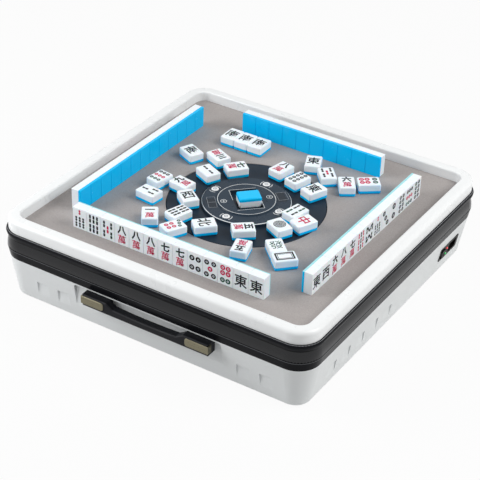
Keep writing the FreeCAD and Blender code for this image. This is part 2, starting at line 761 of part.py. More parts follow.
def lift_carriage():
    middle = lift_middle()
    outer = web_outer()
    plate_z = MAT_TOP_Z - LIFT_PLATE_THICKNESS
    web_z = plate_z - LIFT_WEB_DEPTH
    inner_edge = -SLOT_INNER - SLOT_CLEARANCE
    plate = slot_cutter(0, 0, plate_z, MAT_TOP_Z)
    web = block(middle - lift_half_web(), middle + lift_half_web(),
                outer, outer + LIFT_WEB_THICKNESS, web_z, plate_z)
    pieces = [web]
    gusset_depth = (plate_z - web_z) / 2
    for share in LIFT_GUSSET_SHARES:
        at = middle + lift_half_web() * share
        steps = [
            (outer + LIFT_WEB_THICKNESS, plate_z),
            (inner_edge - LIFT_PLATE_THICKNESS, plate_z),
            (outer + LIFT_WEB_THICKNESS, plate_z - gusset_depth),
        ]
        face = Part.Face(outline(steps, lambda y, z: Vector(at, y, z)))
        pieces.append(face.extrude(Vector(LIFT_GUSSET_THICKNESS, 0, 0)))
    for direction in (-1, 1):
        post_x = middle + post_spread() * direction
        for low in (web_z, plate_z - LUG_DROP - LUG_HEIGHT):
            pieces.append(block(post_x - LUG_HALF, post_x + LUG_HALF,
                                post_y() - LUG_HALF, outer, low, low + LUG_HEIGHT))
    carriage = plate.fuse(pieces)
    bores = []
    for direction in (-1, 1):
        post_x = middle + post_spread() * direction
        bores.append(rod(POST_RADIUS + RUNNING_CLEARANCE, Vector(post_x, post_y(), web_z - OVERRUN),
                         plate_z - web_z + OVERRUN))
    return carriage.cut(bores).fuse(rack()).removeSplitter()


def rack():
    """Toothed bar on the outside of the web, teeth towards the pinion."""
    low = PINION_Z - RACK_BELOW_PINION
    top = low + RACK_LENGTH
    pitch = math.pi * GEAR_MODULE
    root = rack_pitch_x() - DEDENDUM_SHARE * GEAR_MODULE
    tip = rack_pitch_x() + ADDENDUM_SHARE * GEAR_MODULE
    slope = math.tan(math.radians(PRESSURE_ANGLE))
    half_pitch_tooth = pitch / 4 - GEAR_BACKLASH / 2
    half_root = half_pitch_tooth + DEDENDUM_SHARE * GEAR_MODULE * slope
    half_tip = half_pitch_tooth - ADDENDUM_SHARE * GEAR_MODULE * slope
    steps = [(root - RACK_BODY, low), (root, low)]
    number = math.ceil((low + half_root - PINION_Z) / pitch)
    while PINION_Z + number * pitch + half_root < top:
        centre = PINION_Z + number * pitch
        steps += [(root, centre - half_root), (tip, centre - half_tip),
                  (tip, centre + half_tip), (root, centre + half_root)]
        number += 1
    steps += [(root, top), (root - RACK_BODY, top)]
    face = Part.Face(outline(steps, lambda x, z: Vector(x, web_outer(), z)))
    return face.extrude(Vector(0, -RACK_WIDTH, 0))


def pinion():
    """Spur gear with a tooth space facing the rack at rest."""
    base = PINION_RADIUS * math.cos(math.radians(PRESSURE_ANGLE))
    tip = PINION_RADIUS + ADDENDUM_SHARE * GEAR_MODULE
    root = PINION_RADIUS - DEDENDUM_SHARE * GEAR_MODULE
    pitch_angle = 2 * math.pi / PINION_TEETH

    def involute(radius):
        ratio = max(radius, base) / base
        angle = math.sqrt(ratio * ratio - 1)
        return angle - math.atan(angle)

    half_tooth = pitch_angle / 4 - GEAR_BACKLASH / 2 / PINION_RADIUS
    flank_radii = [root, base, (base + PINION_RADIUS) / 2, PINION_RADIUS, (PINION_RADIUS + tip) / 2, tip]
    steps = []
    for tooth in range(PINION_TEETH):
        centre = math.pi + pitch_angle * (tooth + 0.5)
        rising = []
        for radius in flank_radii:
            rising.append((radius, half_tooth + involute(PINION_RADIUS) - involute(radius)))
        for radius, half in rising:
            steps.append((radius * math.cos(centre - half), radius * math.sin(centre - half)))
        for radius, half in reversed(rising):
            steps.append((radius * math.cos(centre + half), radius * math.sin(centre + half)))
    start_y = web_outer() - RACK_WIDTH
    face = Part.Face(outline(steps, lambda x, z: Vector(pinion_x() + x, start_y, PINION_Z + z)))
    gear = face.extrude(Vector(0, RACK_WIDTH - FREE_GAP, 0))
    bore = rod(PINION_SHAFT_RADIUS + RUNNING_CLEARANCE, Vector(pinion_x(), start_y - OVERRUN, PINION_Z),
               RACK_WIDTH + OVERRUN + OVERRUN, ALONG_Y)
    return gear.cut(bore)


def guide_posts():
    posts = []
    bore_depth = SCREW_LENGTH - (FLOOR_Z - FOOT_HEIGHT - SCREW_HEAD_HEIGHT)
    for x, y in post_places():
        post = rod(POST_RADIUS, Vector(x, y, FLOOR_Z), DECK_Z - FREE_GAP - FLOOR_Z)
        bore = rod(SCREW_SHANK_RADIUS + SCREW_CLEARANCE, Vector(x, y, FLOOR_Z), bore_depth)
        posts.append(post.cut(bore))
    return posts


def lift_motors():
    motors = []
    face_y = web_outer() - RACK_WIDTH - LIFT_MOTOR_GAP
    back_y = face_y - LIFT_MOTOR_LENGTH
    body = rod(LIFT_MOTOR_RADIUS, Vector(pinion_x(), back_y, PINION_Z), LIFT_MOTOR_LENGTH, ALONG_Y)
    boss = rod(LIFT_MOTOR_RADIUS / 2, Vector(pinion_x(), face_y, PINION_Z), LIFT_MOTOR_BOSS_LENGTH, ALONG_Y)
    shaft = rod(PINION_SHAFT_RADIUS, Vector(pinion_x(), face_y, PINION_Z),
                LIFT_MOTOR_GAP + RACK_WIDTH - FREE_GAP, ALONG_Y)
    foot = block(pinion_x() - MOTOR_FOOT_WIDTH / 2, pinion_x() + MOTOR_FOOT_WIDTH / 2,
                 back_y + MOTOR_FOOT_INSET, face_y - MOTOR_FOOT_INSET, FLOOR_Z, PINION_Z)
    motor = body.fuse([boss, shaft, foot])
    for side in range(4):
        motors.append(about_z(motor, RIGHT_ANGLE * side))
    return motors


# Tiles

def tile():
    """One tile lying face up about its own centre, its base at Z = 0."""
    body = block(-TILE_WIDTH / 2, TILE_WIDTH / 2, -TILE_LENGTH / 2, TILE_LENGTH / 2, 0, TILE_THICKNESS)
    return body.makeChamfer(TILE_CHAMFER, body.Edges)


def laid_tile(x, y, z, degrees):
    return moved(about_z(tile(), degrees), x, y, z)


def tile_row(most, middle, setback):
    """A row standing on the front lift, faces outwards: as many as fit on it, up to most."""
    standing = tile()
    standing.rotate(ORIGIN, ALONG_X, RIGHT_ANGLE)
    standing.translate(Vector(0, -SLOT_OUTER + setback + TILE_THICKNESS, MAT_TOP_Z + TILE_LENGTH / 2))
    pitch = TILE_WIDTH + TILE_GAP
    room = 2 * min(SLOT_SHORT_END - middle, SLOT_LONG_END + middle)
    count = min(most, math.floor(room / pitch))
    row = []
    for number in range(count):
        row.append(moved(standing, middle + pitch * (number - (count - 1) / 2), 0, 0))
    return row


def mat_tiles():
    tiles = []
    for x_share, y_share, degrees in MAT_TILE_SHARES:
        tiles.append(laid_tile(x_share * FRAME_INNER, y_share * FRAME_INNER, MAT_TOP_Z, degrees))
    for number in (-1, 0, 1):
        x = TRIO_SHARES[0] * FRAME_INNER + (TILE_WIDTH + TILE_GAP) * number
        tiles.append(laid_tile(x, TRIO_SHARES[1] * FRAME_INNER, MAT_TOP_Z, TRIO_TURN))
    return tiles


def plate_tiles():
    tiles = []
    for x_share, y_share, degrees in PLATE_TILE_SHARES:
        tiles.append(laid_tile(x_share * FRAME_INNER, y_share * FRAME_INNER, MAT_TOP_Z, degrees))
    return tiles


# Centre plate and control disc

def centre_plate():
    outer = CENTRE_HOLE_RADIUS - CENTRE_GAP
    inner = HOUSING_RADIUS + FREE_GAP
    steps = [
        (inner, CENTRE_PLATE_Z),
        (outer - CENTRE_PLATE_BEVEL, CENTRE_PLATE_Z),
        (outer, CENTRE_PLATE_Z + CENTRE_PLATE_BEVEL),
        (outer, MAT_TOP_Z - CENTRE_PLATE_BEVEL),
        (outer - CENTRE_PLATE_BEVEL, MAT_TOP_Z),
        (inner, MAT_TOP_Z),
    ]
    ring = Part.Face(outline(steps, lambda r, z: Vector(r, 0, z))).revolve(ORIGIN, UP, 360)
    rib_start = HOUSING_RADIUS + HOUSING_FLANGE_WIDTH + FREE_GAP
    rib = block(rib_start, outer - CENTRE_PLATE_THICKNESS, -CENTRE_RIB_THICKNESS / 2,
                CENTRE_RIB_THICKNESS / 2, CENTRE_PLATE_Z - CENTRE_RIB_HEIGHT, CENTRE_PLATE_Z)
    ribs = []
    for number in range(CENTRE_RIBS):
        ribs.append(about_z(rib, 360 / CENTRE_RIBS * number))
    return ring.fuse(ribs)


def button_places():
    places = []
    for side in range(4):
        angle = math.radians(RIGHT_ANGLE * side - RIGHT_ANGLE)
        places.append((BUTTON_CIRCLE * math.cos(angle), BUTTON_CIRCLE * math.sin(angle)))
    return places


def well_cutter():
    cutter = rounded_plate(WELL_WIDTH / 2, WELL_LENGTH / 2, WELL_CORNER_RADIUS,
                           WELL_FLOOR_Z, CROWN_TOP_Z + OVERRUN)
    return about_z(cutter, RIGHT_ANGLE / 2)


def window_block(margin, z0, z1):
    cutter = rounded_plate(WINDOW_WIDTH / 2 + margin, WINDOW_LENGTH / 2 + margin,
                           WELL_CORNER_RADIUS + margin, z0, z1)
    return moved(cutter, WINDOW_RADIUS, 0, 0)


def window_turns():
    return (RIGHT_ANGLE / 2, -RIGHT_ANGLE * 3 / 2)


def control_disc():
    steps = [
        (0, DISC_BODY_Z),
        (HOUSING_RADIUS, DISC_BODY_Z),
        (HOUSING_RADIUS, MAT_TOP_Z),
        (DISC_RADIUS, MAT_TOP_Z),
        (DISC_RADIUS, DISC_TOP_Z - DISC_BEVEL),
        (DISC_RADIUS - DISC_BEVEL, DISC_TOP_Z),
        (CROWN_RADIUS + CROWN_SLOPE, DISC_TOP_Z),
        (CROWN_RADIUS, CROWN_TOP_Z),
        (0, CROWN_TOP_Z),
    ]
    disc = Part.Face(outline(steps, lambda r, z: Vector(r, 0, z))).revolve(ORIGIN, UP, 360)
    cuts = [well_cutter()]
    for degrees in window_turns():
        cutter = window_block(RUNNING_CLEARANCE, DISC_TOP_Z - WINDOW_THICKNESS, DISC_TOP_Z + OVERRUN)
        cuts.append(about_z(cutter, degrees))
    for x, y in button_places():
        cap_floor = DISC_TOP_Z + BUTTON_PROUD - BUTTON_CAP_HEIGHT - BUTTON_TRAVEL - FREE_GAP
        cuts.append(rod(BUTTON_RADIUS + BUTTON_CLEARANCE, Vector(x, y, cap_floor), DISC_BODY_DEPTH))
        cuts.append(rod(BUTTON_STEM_RADIUS + BUTTON_CLEARANCE, Vector(x, y, DISC_BODY_Z - OVERRUN),
                        DISC_BODY_DEPTH + OVERRUN))
    return disc.cut(cuts)


def control_button(x, y):
    top = DISC_TOP_Z + BUTTON_PROUD
    cap = rod(BUTTON_RADIUS, Vector(x, y, top - BUTTON_CAP_HEIGHT), BUTTON_CAP_HEIGHT)
    cap = cap.makeChamfer(BUTTON_CHAMFER, [edge for edge in cap.Edges if edge.BoundBox.ZMin > top - FREE_GAP])
    collar_z = DISC_BODY_Z - BUTTON_CLEARANCE - BUTTON_COLLAR_THICKNESS
    tail_z = collar_z - BUTTON_STEM_TAIL
    stem = rod(BUTTON_STEM_RADIUS, Vector(x, y, tail_z), top - BUTTON_CAP_HEIGHT - tail_z)
    collar = rod(BUTTON_COLLAR_RADIUS, Vector(x, y, collar_z), BUTTON_COLLAR_THICKNESS)
    return cap.fuse([stem, collar])


def display_windows():
    windows = []
    for degrees in window_turns():
        windows.append(about_z(window_block(0, DISC_TOP_Z - WINDOW_THICKNESS, DISC_TOP_Z), degrees))
    return windows


def control_housing():
    """Cup under the disc that clamps the centre plate and holds the board."""
    inner = HOUSING_RADIUS - HOUSING_WALL
    flange_top = CENTRE_PLATE_Z
    flange = HOUSING_RADIUS + HOUSING_FLANGE_WIDTH
    steps = [
        (0, HOUSING_Z),
        (HOUSING_RADIUS, HOUSING_Z),
        (HOUSING_RADIUS, flange_top - HOUSING_FLANGE_THICKNESS),
        (flange, flange_top - HOUSING_FLANGE_THICKNESS),
        (flange, flange_top),
        (HOUSING_RADIUS, flange_top),
        (HOUSING_RADIUS, DISC_BODY_Z),
        (inner, DISC_BODY_Z),
        (inner, HOUSING_Z + HOUSING_WALL),
        (0, HOUSING_Z + HOUSING_WALL),
    ]
    return Part.Face(outline(steps, lambda r, z: Vector(r, 0, z))).revolve(ORIGIN, UP, 360)


def control_board():
    """Round board with a switch under each button, on four pillars."""
    radius = HOUSING_RADIUS - HOUSING_WALL - FREE_GAP
    floor_z = HOUSING_Z + HOUSING_WALL
    tail_z = DISC_BODY_Z - BUTTON_CLEARANCE - BUTTON_COLLAR_THICKNESS - BUTTON_STEM_TAIL
    switch_top = tail_z - BUTTON_TRAVEL - FREE_GAP
    board_z = floor_z + BOARD_STANDOFF
    pieces = []
    for x, y in button_places():
        half = BUTTON_COLLAR_RADIUS
        pieces.append(block(x - half, x + half, y - half, y + half,
                            board_z + BOARD_THICKNESS, switch_top))
        pieces.append(rod(BOARD_STANDOFF_RADIUS, Vector(x / 2, y / 2, floor_z), BOARD_STANDOFF))
    board = rod(radius, Vector(0, 0, board_z), BOARD_THICKNESS)
    return board.fuse(pieces)


def control_stem():
    flange_z = HOUSING_Z - STEM_FLANGE_THICKNESS
    tube_body = rod(STEM_RADIUS, Vector(0, 0, STEM_BOTTOM_Z), flange_z - STEM_BOTTOM_Z)
    flange = rod(STEM_FLANGE_RADIUS, Vector(0, 0, flange_z), STEM_FLANGE_THICKNESS)
    nut = rod(SCREW_RADIUS + RUNNING_CLEARANCE, Vector(0, 0, STEM_BOTTOM_Z - OVERRUN), NUT_HEIGHT + OVERRUN)
    bore = rod(STEM_BORE_RADIUS, Vector(0, 0, STEM_BOTTOM_Z + NUT_HEIGHT),
               flange_z - STEM_BOTTOM_Z - NUT_HEIGHT)
    return tube_body.fuse(flange).cut([nut, bore])


def sleeve_outer():
    return STEM_RADIUS + RUNNING_CLEARANCE + SLEEVE_WALL


def guide_sleeve():
    bore = STEM_RADIUS + RUNNING_CLEARANCE
    flange = tube(SLEEVE_FLANGE_RADIUS, bore, Vector(0, 0, FLOOR_Z), SLEEVE_FLANGE_THICKNESS)
    barrel = tube(sleeve_outer(), bore, Vector(0, 0, FLOOR_Z), SLEEVE_TOP_Z - FLOOR_Z)
    return flange.fuse(barrel)


def centre_motor_top():
    return FLOOR_Z + CENTRE_MOTOR_HEIGHT


def centre_motor():
    return rod(CENTRE_MOTOR_RADIUS, Vector(0, 0, FLOOR_Z), CENTRE_MOTOR_HEIGHT)


def centre_screw():
    """Lead screw with a drive collar that stands on the motor."""
    low = centre_motor_top() + RUNNING_CLEARANCE
    length = SLEEVE_TOP_Z - NUT_HEIGHT / 2 - low
    collar = rod(SCREW_COLLAR_RADIUS, Vector(0, 0, low), SCREW_COLLAR_HEIGHT)
    return rod(SCREW_RADIUS, Vector(0, 0, low), length).fuse(collar)


# Shuffling drum

def shuffling_drum():
    bore = sleeve_outer() + RUNNING_CLEARANCE
    hub = bore + DRUM_HUB_WALL
    bottom = FLOOR_Z + SLEEVE_FLANGE_THICKNESS + DRUM_BEARING_HEIGHT + BEARING_CLEARANCE
    pulley_inner = DRUM_PULLEY_RADIUS - DRUM_PULLEY_WALL
    floor_top = DRUM_FLOOR_Z + DRUM_WALL
    outer_round = DRUM_RADIUS - DRUM_EDGE_RADIUS
    steps = [
        (bore, bottom),
        (hub, bottom),
        (hub, DRUM_FLOOR_Z),
        (pulley_inner, DRUM_FLOOR_Z),
        (pulley_inner, bottom),
        (DRUM_PULLEY_RADIUS, bottom),
        (DRUM_PULLEY_RADIUS, DRUM_FLOOR_Z),
        (outer_round, DRUM_FLOOR_Z),
        quarter((outer_round, DRUM_FLOOR_Z + DRUM_EDGE_RADIUS), DRUM_EDGE_RADIUS, -90, 90),
        (DRUM_RADIUS, DRUM_RIM_Z),
        (DRUM_RADIUS - DRUM_WALL, DRUM_RIM_Z),
        (DRUM_RADIUS - DRUM_WALL, DRUM_FLOOR_Z + DRUM_EDGE_RADIUS),
        (outer_round - DRUM_WALL / 2, floor_top),
        (hub + DRUM_HUB_WALL, floor_top),
        (hub - DRUM_WALL, DRUM_HUB_TOP_Z),
        (bore, DRUM_HUB_TOP_Z),
    ]
    bowl = Part.Face(outline(steps, lambda r, z: Vector(r, 0, z))).revolve(ORIGIN, UP, 360)
    vanes = []
    vane_start = hub + DRUM_HUB_WALL / 2
    vane_end = DRUM_RADIUS - DRUM_WALL - DRUM_EDGE_RADIUS / 2
    centre_x = (vane_start + vane_end) / 2
    half_span = (vane_end - vane_start) / 2
    centre_y = -math.sqrt(VANE_ARC_RADIUS * VANE_ARC_RADIUS - half_span * half_span)
    half_angle = math.degrees(math.asin(half_span / VANE_ARC_RADIUS))
    outer = VANE_ARC_RADIUS + VANE_THICKNESS / 2
    inner = VANE_ARC_RADIUS - VANE_THICKNESS / 2
    first = math.radians(90 + half_angle)
    last = math.radians(90 - half_angle)
    centre = (centre_x, centre_y)
    vane_steps = [
        (centre_x + outer * math.cos(first), centre_y + outer * math.sin(first)),
        quarter(centre, outer, 90 + half_angle, -2 * half_angle),
        (centre_x + inner * math.cos(last), centre_y + inner * math.sin(last)),
        quarter(centre, inner, 90 - half_angle, 2 * half_angle),
    ]
    vane_low = DRUM_FLOOR_Z + DRUM_WALL / 2
    vane = Part.Face(outline(vane_steps, flat_at(vane_low)))
    vane = vane.extrude(Vector(0, 0, DRUM_WALL / 2 + VANE_HEIGHT))
    for number in range(DRUM_VANES):
        vanes.append(about_z(vane, 360 / DRUM_VANES * number))
    return bowl.fuse(vanes).removeSplitter()


def drum_bearing():
    return tube(sleeve_outer() + RUNNING_CLEARANCE + DRUM_HUB_WALL - DRUM_WALL / 2,
                sleeve_outer() + RUNNING_CLEARANCE,
                Vector(0, 0, FLOOR_Z + SLEEVE_FLANGE_THICKNESS), DRUM_BEARING_HEIGHT)


def belt_outline(large, small, z):
    """Outline of a belt laid round the drum pulley and the motor pulley."""
    distance = DRUM_MOTOR_PLACE * math.sqrt(2)
    lean = math.degrees(math.acos((large - small) / distance))
    far = (distance, 0)

    def point(centre, radius, degrees):
        angle = math.radians(degrees)
        return (centre[0] + radius * math.cos(angle), centre[1] + radius * math.sin(angle))

    steps = [
        point(far, small, -lean),
        quarter(far, small, -lean, 2 * lean),
        point((0, 0), large, lean),
        quarter((0, 0), large, lean, 360 - 2 * lean),
    ]
    return Part.Face(outline(steps, flat_at(z)))


def drum_belt():
    inner_large = DRUM_PULLEY_RADIUS + BELT_CLEARANCE
    inner_small = MOTOR_PULLEY_RADIUS + BELT_CLEARANCE
    rise = Vector(0, 0, BELT_WIDTH)
    outer = belt_outline(inner_large + BELT_THICKNESS, inner_small + BELT_THICKNESS, BELT_Z).extrude(rise)
    inner = belt_outline(inner_large, inner_small, BELT_Z).extrude(rise)
    return about_z(outer.cut(inner), RIGHT_ANGLE / 2)


def drum_motor():
    place = DRUM_MOTOR_PLACE
    body = rod(DRUM_MOTOR_RADIUS, Vector(place, place, FLOOR_Z), DRUM_MOTOR_HEIGHT)
    shaft = rod(DRUM_SHAFT_RADIUS, Vector(place, place, FLOOR_Z),
                BELT_Z + BELT_WIDTH + DRUM_SHAFT_RADIUS - FLOOR_Z)
    return body.fuse(shaft)


def drum_pulley():
    place = DRUM_MOTOR_PLACE
    low = BELT_Z - PULLEY_BELT_GAP - MOTOR_PULLEY_FLANGE_THICKNESS
    high = BELT_Z + BELT_WIDTH + PULLEY_BELT_GAP
    rim = MOTOR_PULLEY_RADIUS + MOTOR_PULLEY_FLANGE
    core = rod(MOTOR_PULLEY_RADIUS, Vector(place, place, low), high - low)
    flanges = []
    for z in (low, high):
        flanges.append(rod(rim, Vector(place, place, z), MOTOR_PULLEY_FLANGE_THICKNESS))
    bore = rod(DRUM_SHAFT_RADIUS + RUNNING_CLEARANCE, Vector(place, place, low - OVERRUN),
               high + MOTOR_PULLEY_FLANGE_THICKNESS - low + OVERRUN + OVERRUN)
    return core.fuse(flanges).cut(bore)


# Tile tracks and pick-up wheels, modelled at the front and turned

def tile_tracks():
    tracks = []
    floor = block(-TRACK_START, TRACK_END, -TRACK_OUTER, -TRACK_INNER,
                  TRACK_FLOOR_Z, TRACK_FLOOR_Z + TRACK_WALL)
    walls = []
    for low in (-TRACK_OUTER, -TRACK_INNER - TRACK_WALL):
        walls.append(block(-TRACK_START, TRACK_END, low, low + TRACK_WALL,
                           TRACK_FLOOR_Z, TRACK_FLOOR_Z + TRACK_HEIGHT))
    for direction in (-1, 1):
        x = TRACK_LEG_SPREAD * direction
        walls.append(block(x - TRACK_LEG_SIZE / 2, x + TRACK_LEG_SIZE / 2,
                           -TRACK_OUTER, -TRACK_OUTER + TRACK_LEG_SIZE, FLOOR_Z, TRACK_FLOOR_Z))
    bracket_x = bracket_start()
    bracket = block(bracket_x, TRACK_END, -TRACK_INNER - TRACK_WALL, -WHEEL_OFFSET + BRACKET_REACH,
                    TRACK_FLOOR_Z - TRACK_WALL, TRACK_FLOOR_Z + TRACK_HEIGHT)
    bore = rod(WHEEL_SHAFT_RADIUS + RUNNING_CLEARANCE, Vector(bracket_x - OVERRUN, -WHEEL_OFFSET, WHEEL_Z),
               BRACKET_THICKNESS + OVERRUN + OVERRUN, ALONG_X)
    track = floor.fuse(walls + [bracket]).cut(bore)
    for side in range(4):
        tracks.append(about_z(track, RIGHT_ANGLE * side))
    return tracks


def bracket_start():
    return TRACK_END - BRACKET_THICKNESS


def pickup_wheel():
    """A moulded wheel with seats for magnets, and the axle that it is pressed on."""
    wheel = tube(WHEEL_RADIUS, WHEEL_SHAFT_RADIUS + RUNNING_CLEARANCE,
                 Vector(WHEEL_START, -WHEEL_OFFSET, WHEEL_Z), WHEEL_WIDTH, ALONG_X)
    shaft_end = TRACK_END - FREE_GAP
    shaft = rod(WHEEL_SHAFT_RADIUS, Vector(WHEEL_START, -WHEEL_OFFSET, WHEEL_Z),
                shaft_end - WHEEL_START, ALONG_X)
    seats = []
    seat_radius = WHEEL_RADIUS - MAGNET_DEPTH
    for number in range(WHEEL_MAGNETS):
        angle = 2 * math.pi * number / WHEEL_MAGNETS
        outwards = Vector(0, math.cos(angle), math.sin(angle))
        start = Vector(WHEEL_START + WHEEL_WIDTH / 2, -WHEEL_OFFSET, WHEEL_Z) + outwards * seat_radius
        seats.append(rod(MAGNET_RADIUS, start, MAGNET_DEPTH + OVERRUN, outwards))
    return [wheel.cut(seats), shaft]


def pickup_motors():
    motors = []
    motor = rod(WHEEL_MOTOR_RADIUS, Vector(TRACK_END, -WHEEL_OFFSET, WHEEL_Z), WHEEL_MOTOR_LENGTH, ALONG_X)
    for side in range(4):
        motors.append(about_z(motor, RIGHT_ANGLE * side))
    return motors


# Electronics

def board_corners():
    inset = BOARD_STANDOFF_RADIUS + FREE_GAP
    near = -BOARD_CORNER + inset
    far = -BOARD_CORNER + BOARD_SIDE - inset
    return [(near, near), (near, far), (far, near), (far, far)]


def circuit_board():
    low = -BOARD_CORNER
    board_z = FLOOR_Z + BOARD_STANDOFF
    top = board_z + BOARD_THICKNESS
    board = block(low, low + BOARD_SIDE, low, low + BOARD_SIDE, board_z, top)
    parts = []
    for x_share, y_share in CHIP_SHARES:
        x = low + BOARD_SIDE * x_share
        y = low + BOARD_SIDE * y_share
        half = CHIP_SIDE / 2
        parts.append(block(x - half, x + half, y - half, y + half, top, top + CHIP_HEIGHT))
    return board.fuse(parts)


def power_supply():
    corner = SUPPLY_CORNER
    supply = block(corner - SUPPLY_WIDTH, corner, corner - SUPPLY_LENGTH, corner,
                   FLOOR_Z, FLOOR_Z + SUPPLY_HEIGHT)
    return supply.makeChamfer(SUPPLY_CHAMFER, supply.Edges)


# Power panel, drawn with X along the wall, Y up it and Z out of it

def panel_middle():
    return PANEL_START + PANEL_LENGTH / 2


def panel_z():
    return PANEL_BOTTOM_Z + PANEL_HEIGHT / 2


def on_panel(shape):
    return on_wall(shape, 1, panel_middle(), panel_z())


def panel_x(place):
    """Place along the panel, from its front end, in its own frame."""
    return place - PANEL_LENGTH / 2


def panel_opening():
    half_x = PANEL_LENGTH / 2 - PANEL_FLANGE
    half_y = PANEL_HEIGHT / 2 - PANEL_FLANGE
    steps = rounded_steps(half_x, half_y, PANEL_RADIUS - PANEL_FLANGE / 2)
    face = Part.Face(outline(steps, flat_at(-SHELL_WALL - OVERRUN)))
    return on_panel(face.extrude(Vector(0, 0, SHELL_WALL + OVERRUN + OVERRUN)))


def power_panel():
    flange = rounded_plate(PANEL_LENGTH / 2, PANEL_HEIGHT / 2, PANEL_RADIUS, 0, PANEL_PROUD)
    body_x = PANEL_LENGTH / 2 - PANEL_FLANGE - FREE_GAP
    body_y = PANEL_HEIGHT / 2 - PANEL_FLANGE - FREE_GAP
    body = rounded_plate(body_x, body_y, PANEL_RADIUS - PANEL_FLANGE / 2, -PANEL_DEPTH, 0)
    solid = flange.fuse(body).removeSplitter()
    cuts = [inlet_cavity(), rocker_well(), rocker_pin(ROCKER_PIN_REACH + PIN_END_CLEARANCE, RUNNING_CLEARANCE)]
    for direction in (-1, 1):
        start = Vector(panel_x(LAMP_PLACE), LAMP_PITCH / 2 * direction, -PANEL_DEPTH / 2)
        cuts.append(rod(LAMP_RADIUS + RUNNING_CLEARANCE, start, PANEL_DEPTH))
    return on_panel(solid.cut(cuts))


def inlet_cavity():
    steps = rounded_steps(INLET_WIDTH / 2, INLET_HEIGHT / 2, INLET_RADIUS)
    face = Part.Face(outline(steps, flat_at(PANEL_PROUD - INLET_DEPTH)))
    return moved(face.extrude(Vector(0, 0, INLET_DEPTH + OVERRUN)), panel_x(INLET_PLACE), 0, 0)


def inlet_pins():
    pins = []
    floor = PANEL_PROUD - INLET_DEPTH
    for number, rise in ((-1, -INLET_PIN_RISE), (0, INLET_PIN_RISE), (1, -INLET_PIN_RISE)):
        x = panel_x(INLET_PLACE) + INLET_PIN_PITCH * number
        pin = block(x - INLET_PIN_WIDTH / 2, x + INLET_PIN_WIDTH / 2,
                    rise - INLET_PIN_HEIGHT / 2, rise + INLET_PIN_HEIGHT / 2,
                    floor, floor + INLET_PIN_LENGTH)
        pins.append(on_panel(pin))
    return pins


def rocker_axis_z():
    return PANEL_PROUD - ROCKER_DEPTH / 2


def rocker_well():
    half_x = ROCKER_WIDTH / 2 + ROCKER_CLEARANCE
    half_y = ROCKER_HEIGHT / 2 + ROCKER_CLEARANCE
    low = rocker_axis_z() - ROCKER_DEPTH
    well = block(-half_x, half_x, -half_y, half_y, low, PANEL_PROUD + OVERRUN)
    return moved(well, panel_x(ROCKER_PLACE), 0, 0)


def rocker_pin(reach, margin):
    """Pin through the rocker, longer at each end than the rocker by reach."""
    half = ROCKER_WIDTH / 2 + reach
    start = Vector(panel_x(ROCKER_PLACE) - half, 0, rocker_axis_z())
    return rod(ROCKER_PIN_RADIUS + margin, start, half + half, ALONG_X)


def power_switch():
    """Rocker with two sloping faces about a low valley."""
    half = ROCKER_HEIGHT / 2
    top = PANEL_PROUD + ROCKER_PROUD
    wing = top + ROCKER_DISH
    low = rocker_axis_z() - ROCKER_DEPTH / 2
    steps = [
        (-half, rocker_axis_z()), (-half / 2, low), (half / 2, low), (half, rocker_axis_z()),
        (half, wing), (0, top), (-half, wing),
    ]
    start_x = panel_x(ROCKER_PLACE) - ROCKER_WIDTH / 2
    face = Part.Face(outline(steps, lambda y, z: Vector(start_x, y, z)))
    rocker = face.extrude(Vector(ROCKER_WIDTH, 0, 0))
    return on_panel(rocker.fuse(rocker_pin(ROCKER_PIN_REACH, 0)))


def panel_lamps():
    lamps = []
    for direction in (-1, 1):
        base = Vector(panel_x(LAMP_PLACE), LAMP_PITCH / 2 * direction, -PANEL_DEPTH / 2)
        length = PANEL_DEPTH / 2 + PANEL_PROUD
        stem = rod(LAMP_RADIUS, base, length)
        dome = Part.makeSphere(LAMP_RADIUS, base + UP * length)
        lamps.append(on_panel(stem.fuse(dome)))
    return lamps


# Carry handle, drawn about its own middle and moved along the front

def rod_places():
    return (HANDLE_MIDDLE - ROD_SPREAD, HANDLE_MIDDLE + ROD_SPREAD)


def handle_grip():
    half = HANDLE_HALF_LENGTH
    block_inner = half - HANDLE_BLOCK_WIDTH
    shoulder = block_inner - HANDLE_SHOULDER
    dip = (0, HANDLE_GRIP_TOP_Z - HANDLE_DIP)
    steps = [
        (-half, HANDLE_BOTTOM_Z),
        (half, HANDLE_BOTTOM_Z),
        (half, HANDLE_BLOCK_TOP_Z),
        (block_inner, HANDLE_BLOCK_TOP_Z),
        (shoulder, HANDLE_GRIP_TOP_Z),
        (dip, (-shoulder, HANDLE_GRIP_TOP_Z)),
        (-block_inner, HANDLE_BLOCK_TOP_Z),
        (-half, HANDLE_BLOCK_TOP_Z),
    ]
    face = Part.Face(outline(steps, lambda x, z: Vector(x, -HANDLE_FRONT, z)))
    bar = face.extrude(Vector(0, HANDLE_THICKNESS, 0))
    bar = bar.makeChamfer(HANDLE_CHAMFER, [edge for edge in bar.Edges
                                           if edge.BoundBox.YMax < -HANDLE_FRONT + FREE_GAP])
    back = -POCKET_BACK - FREE_GAP
    ends = []
    for direction in (-1, 1):
        low = min(direction * half, direction * block_inner)
        ends.append(block(low, low + HANDLE_BLOCK_WIDTH, -HANDLE_FRONT + HANDLE_THICKNESS, back,
                          HANDLE_BOTTOM_Z, HANDLE_BLOCK_TOP_Z))
    grip = moved(bar.fuse(ends).removeSplitter(), HANDLE_MIDDLE, 0, 0)
    bores = []
    for x in rod_places():
        bores.append(rod(ROD_RADIUS + SCREW_CLEARANCE, Vector(x, back - ROD_GRIP_DEPTH, ROD_Z),
                         ROD_GRIP_DEPTH + OVERRUN, ALONG_Y))
    return grip.cut(bores)


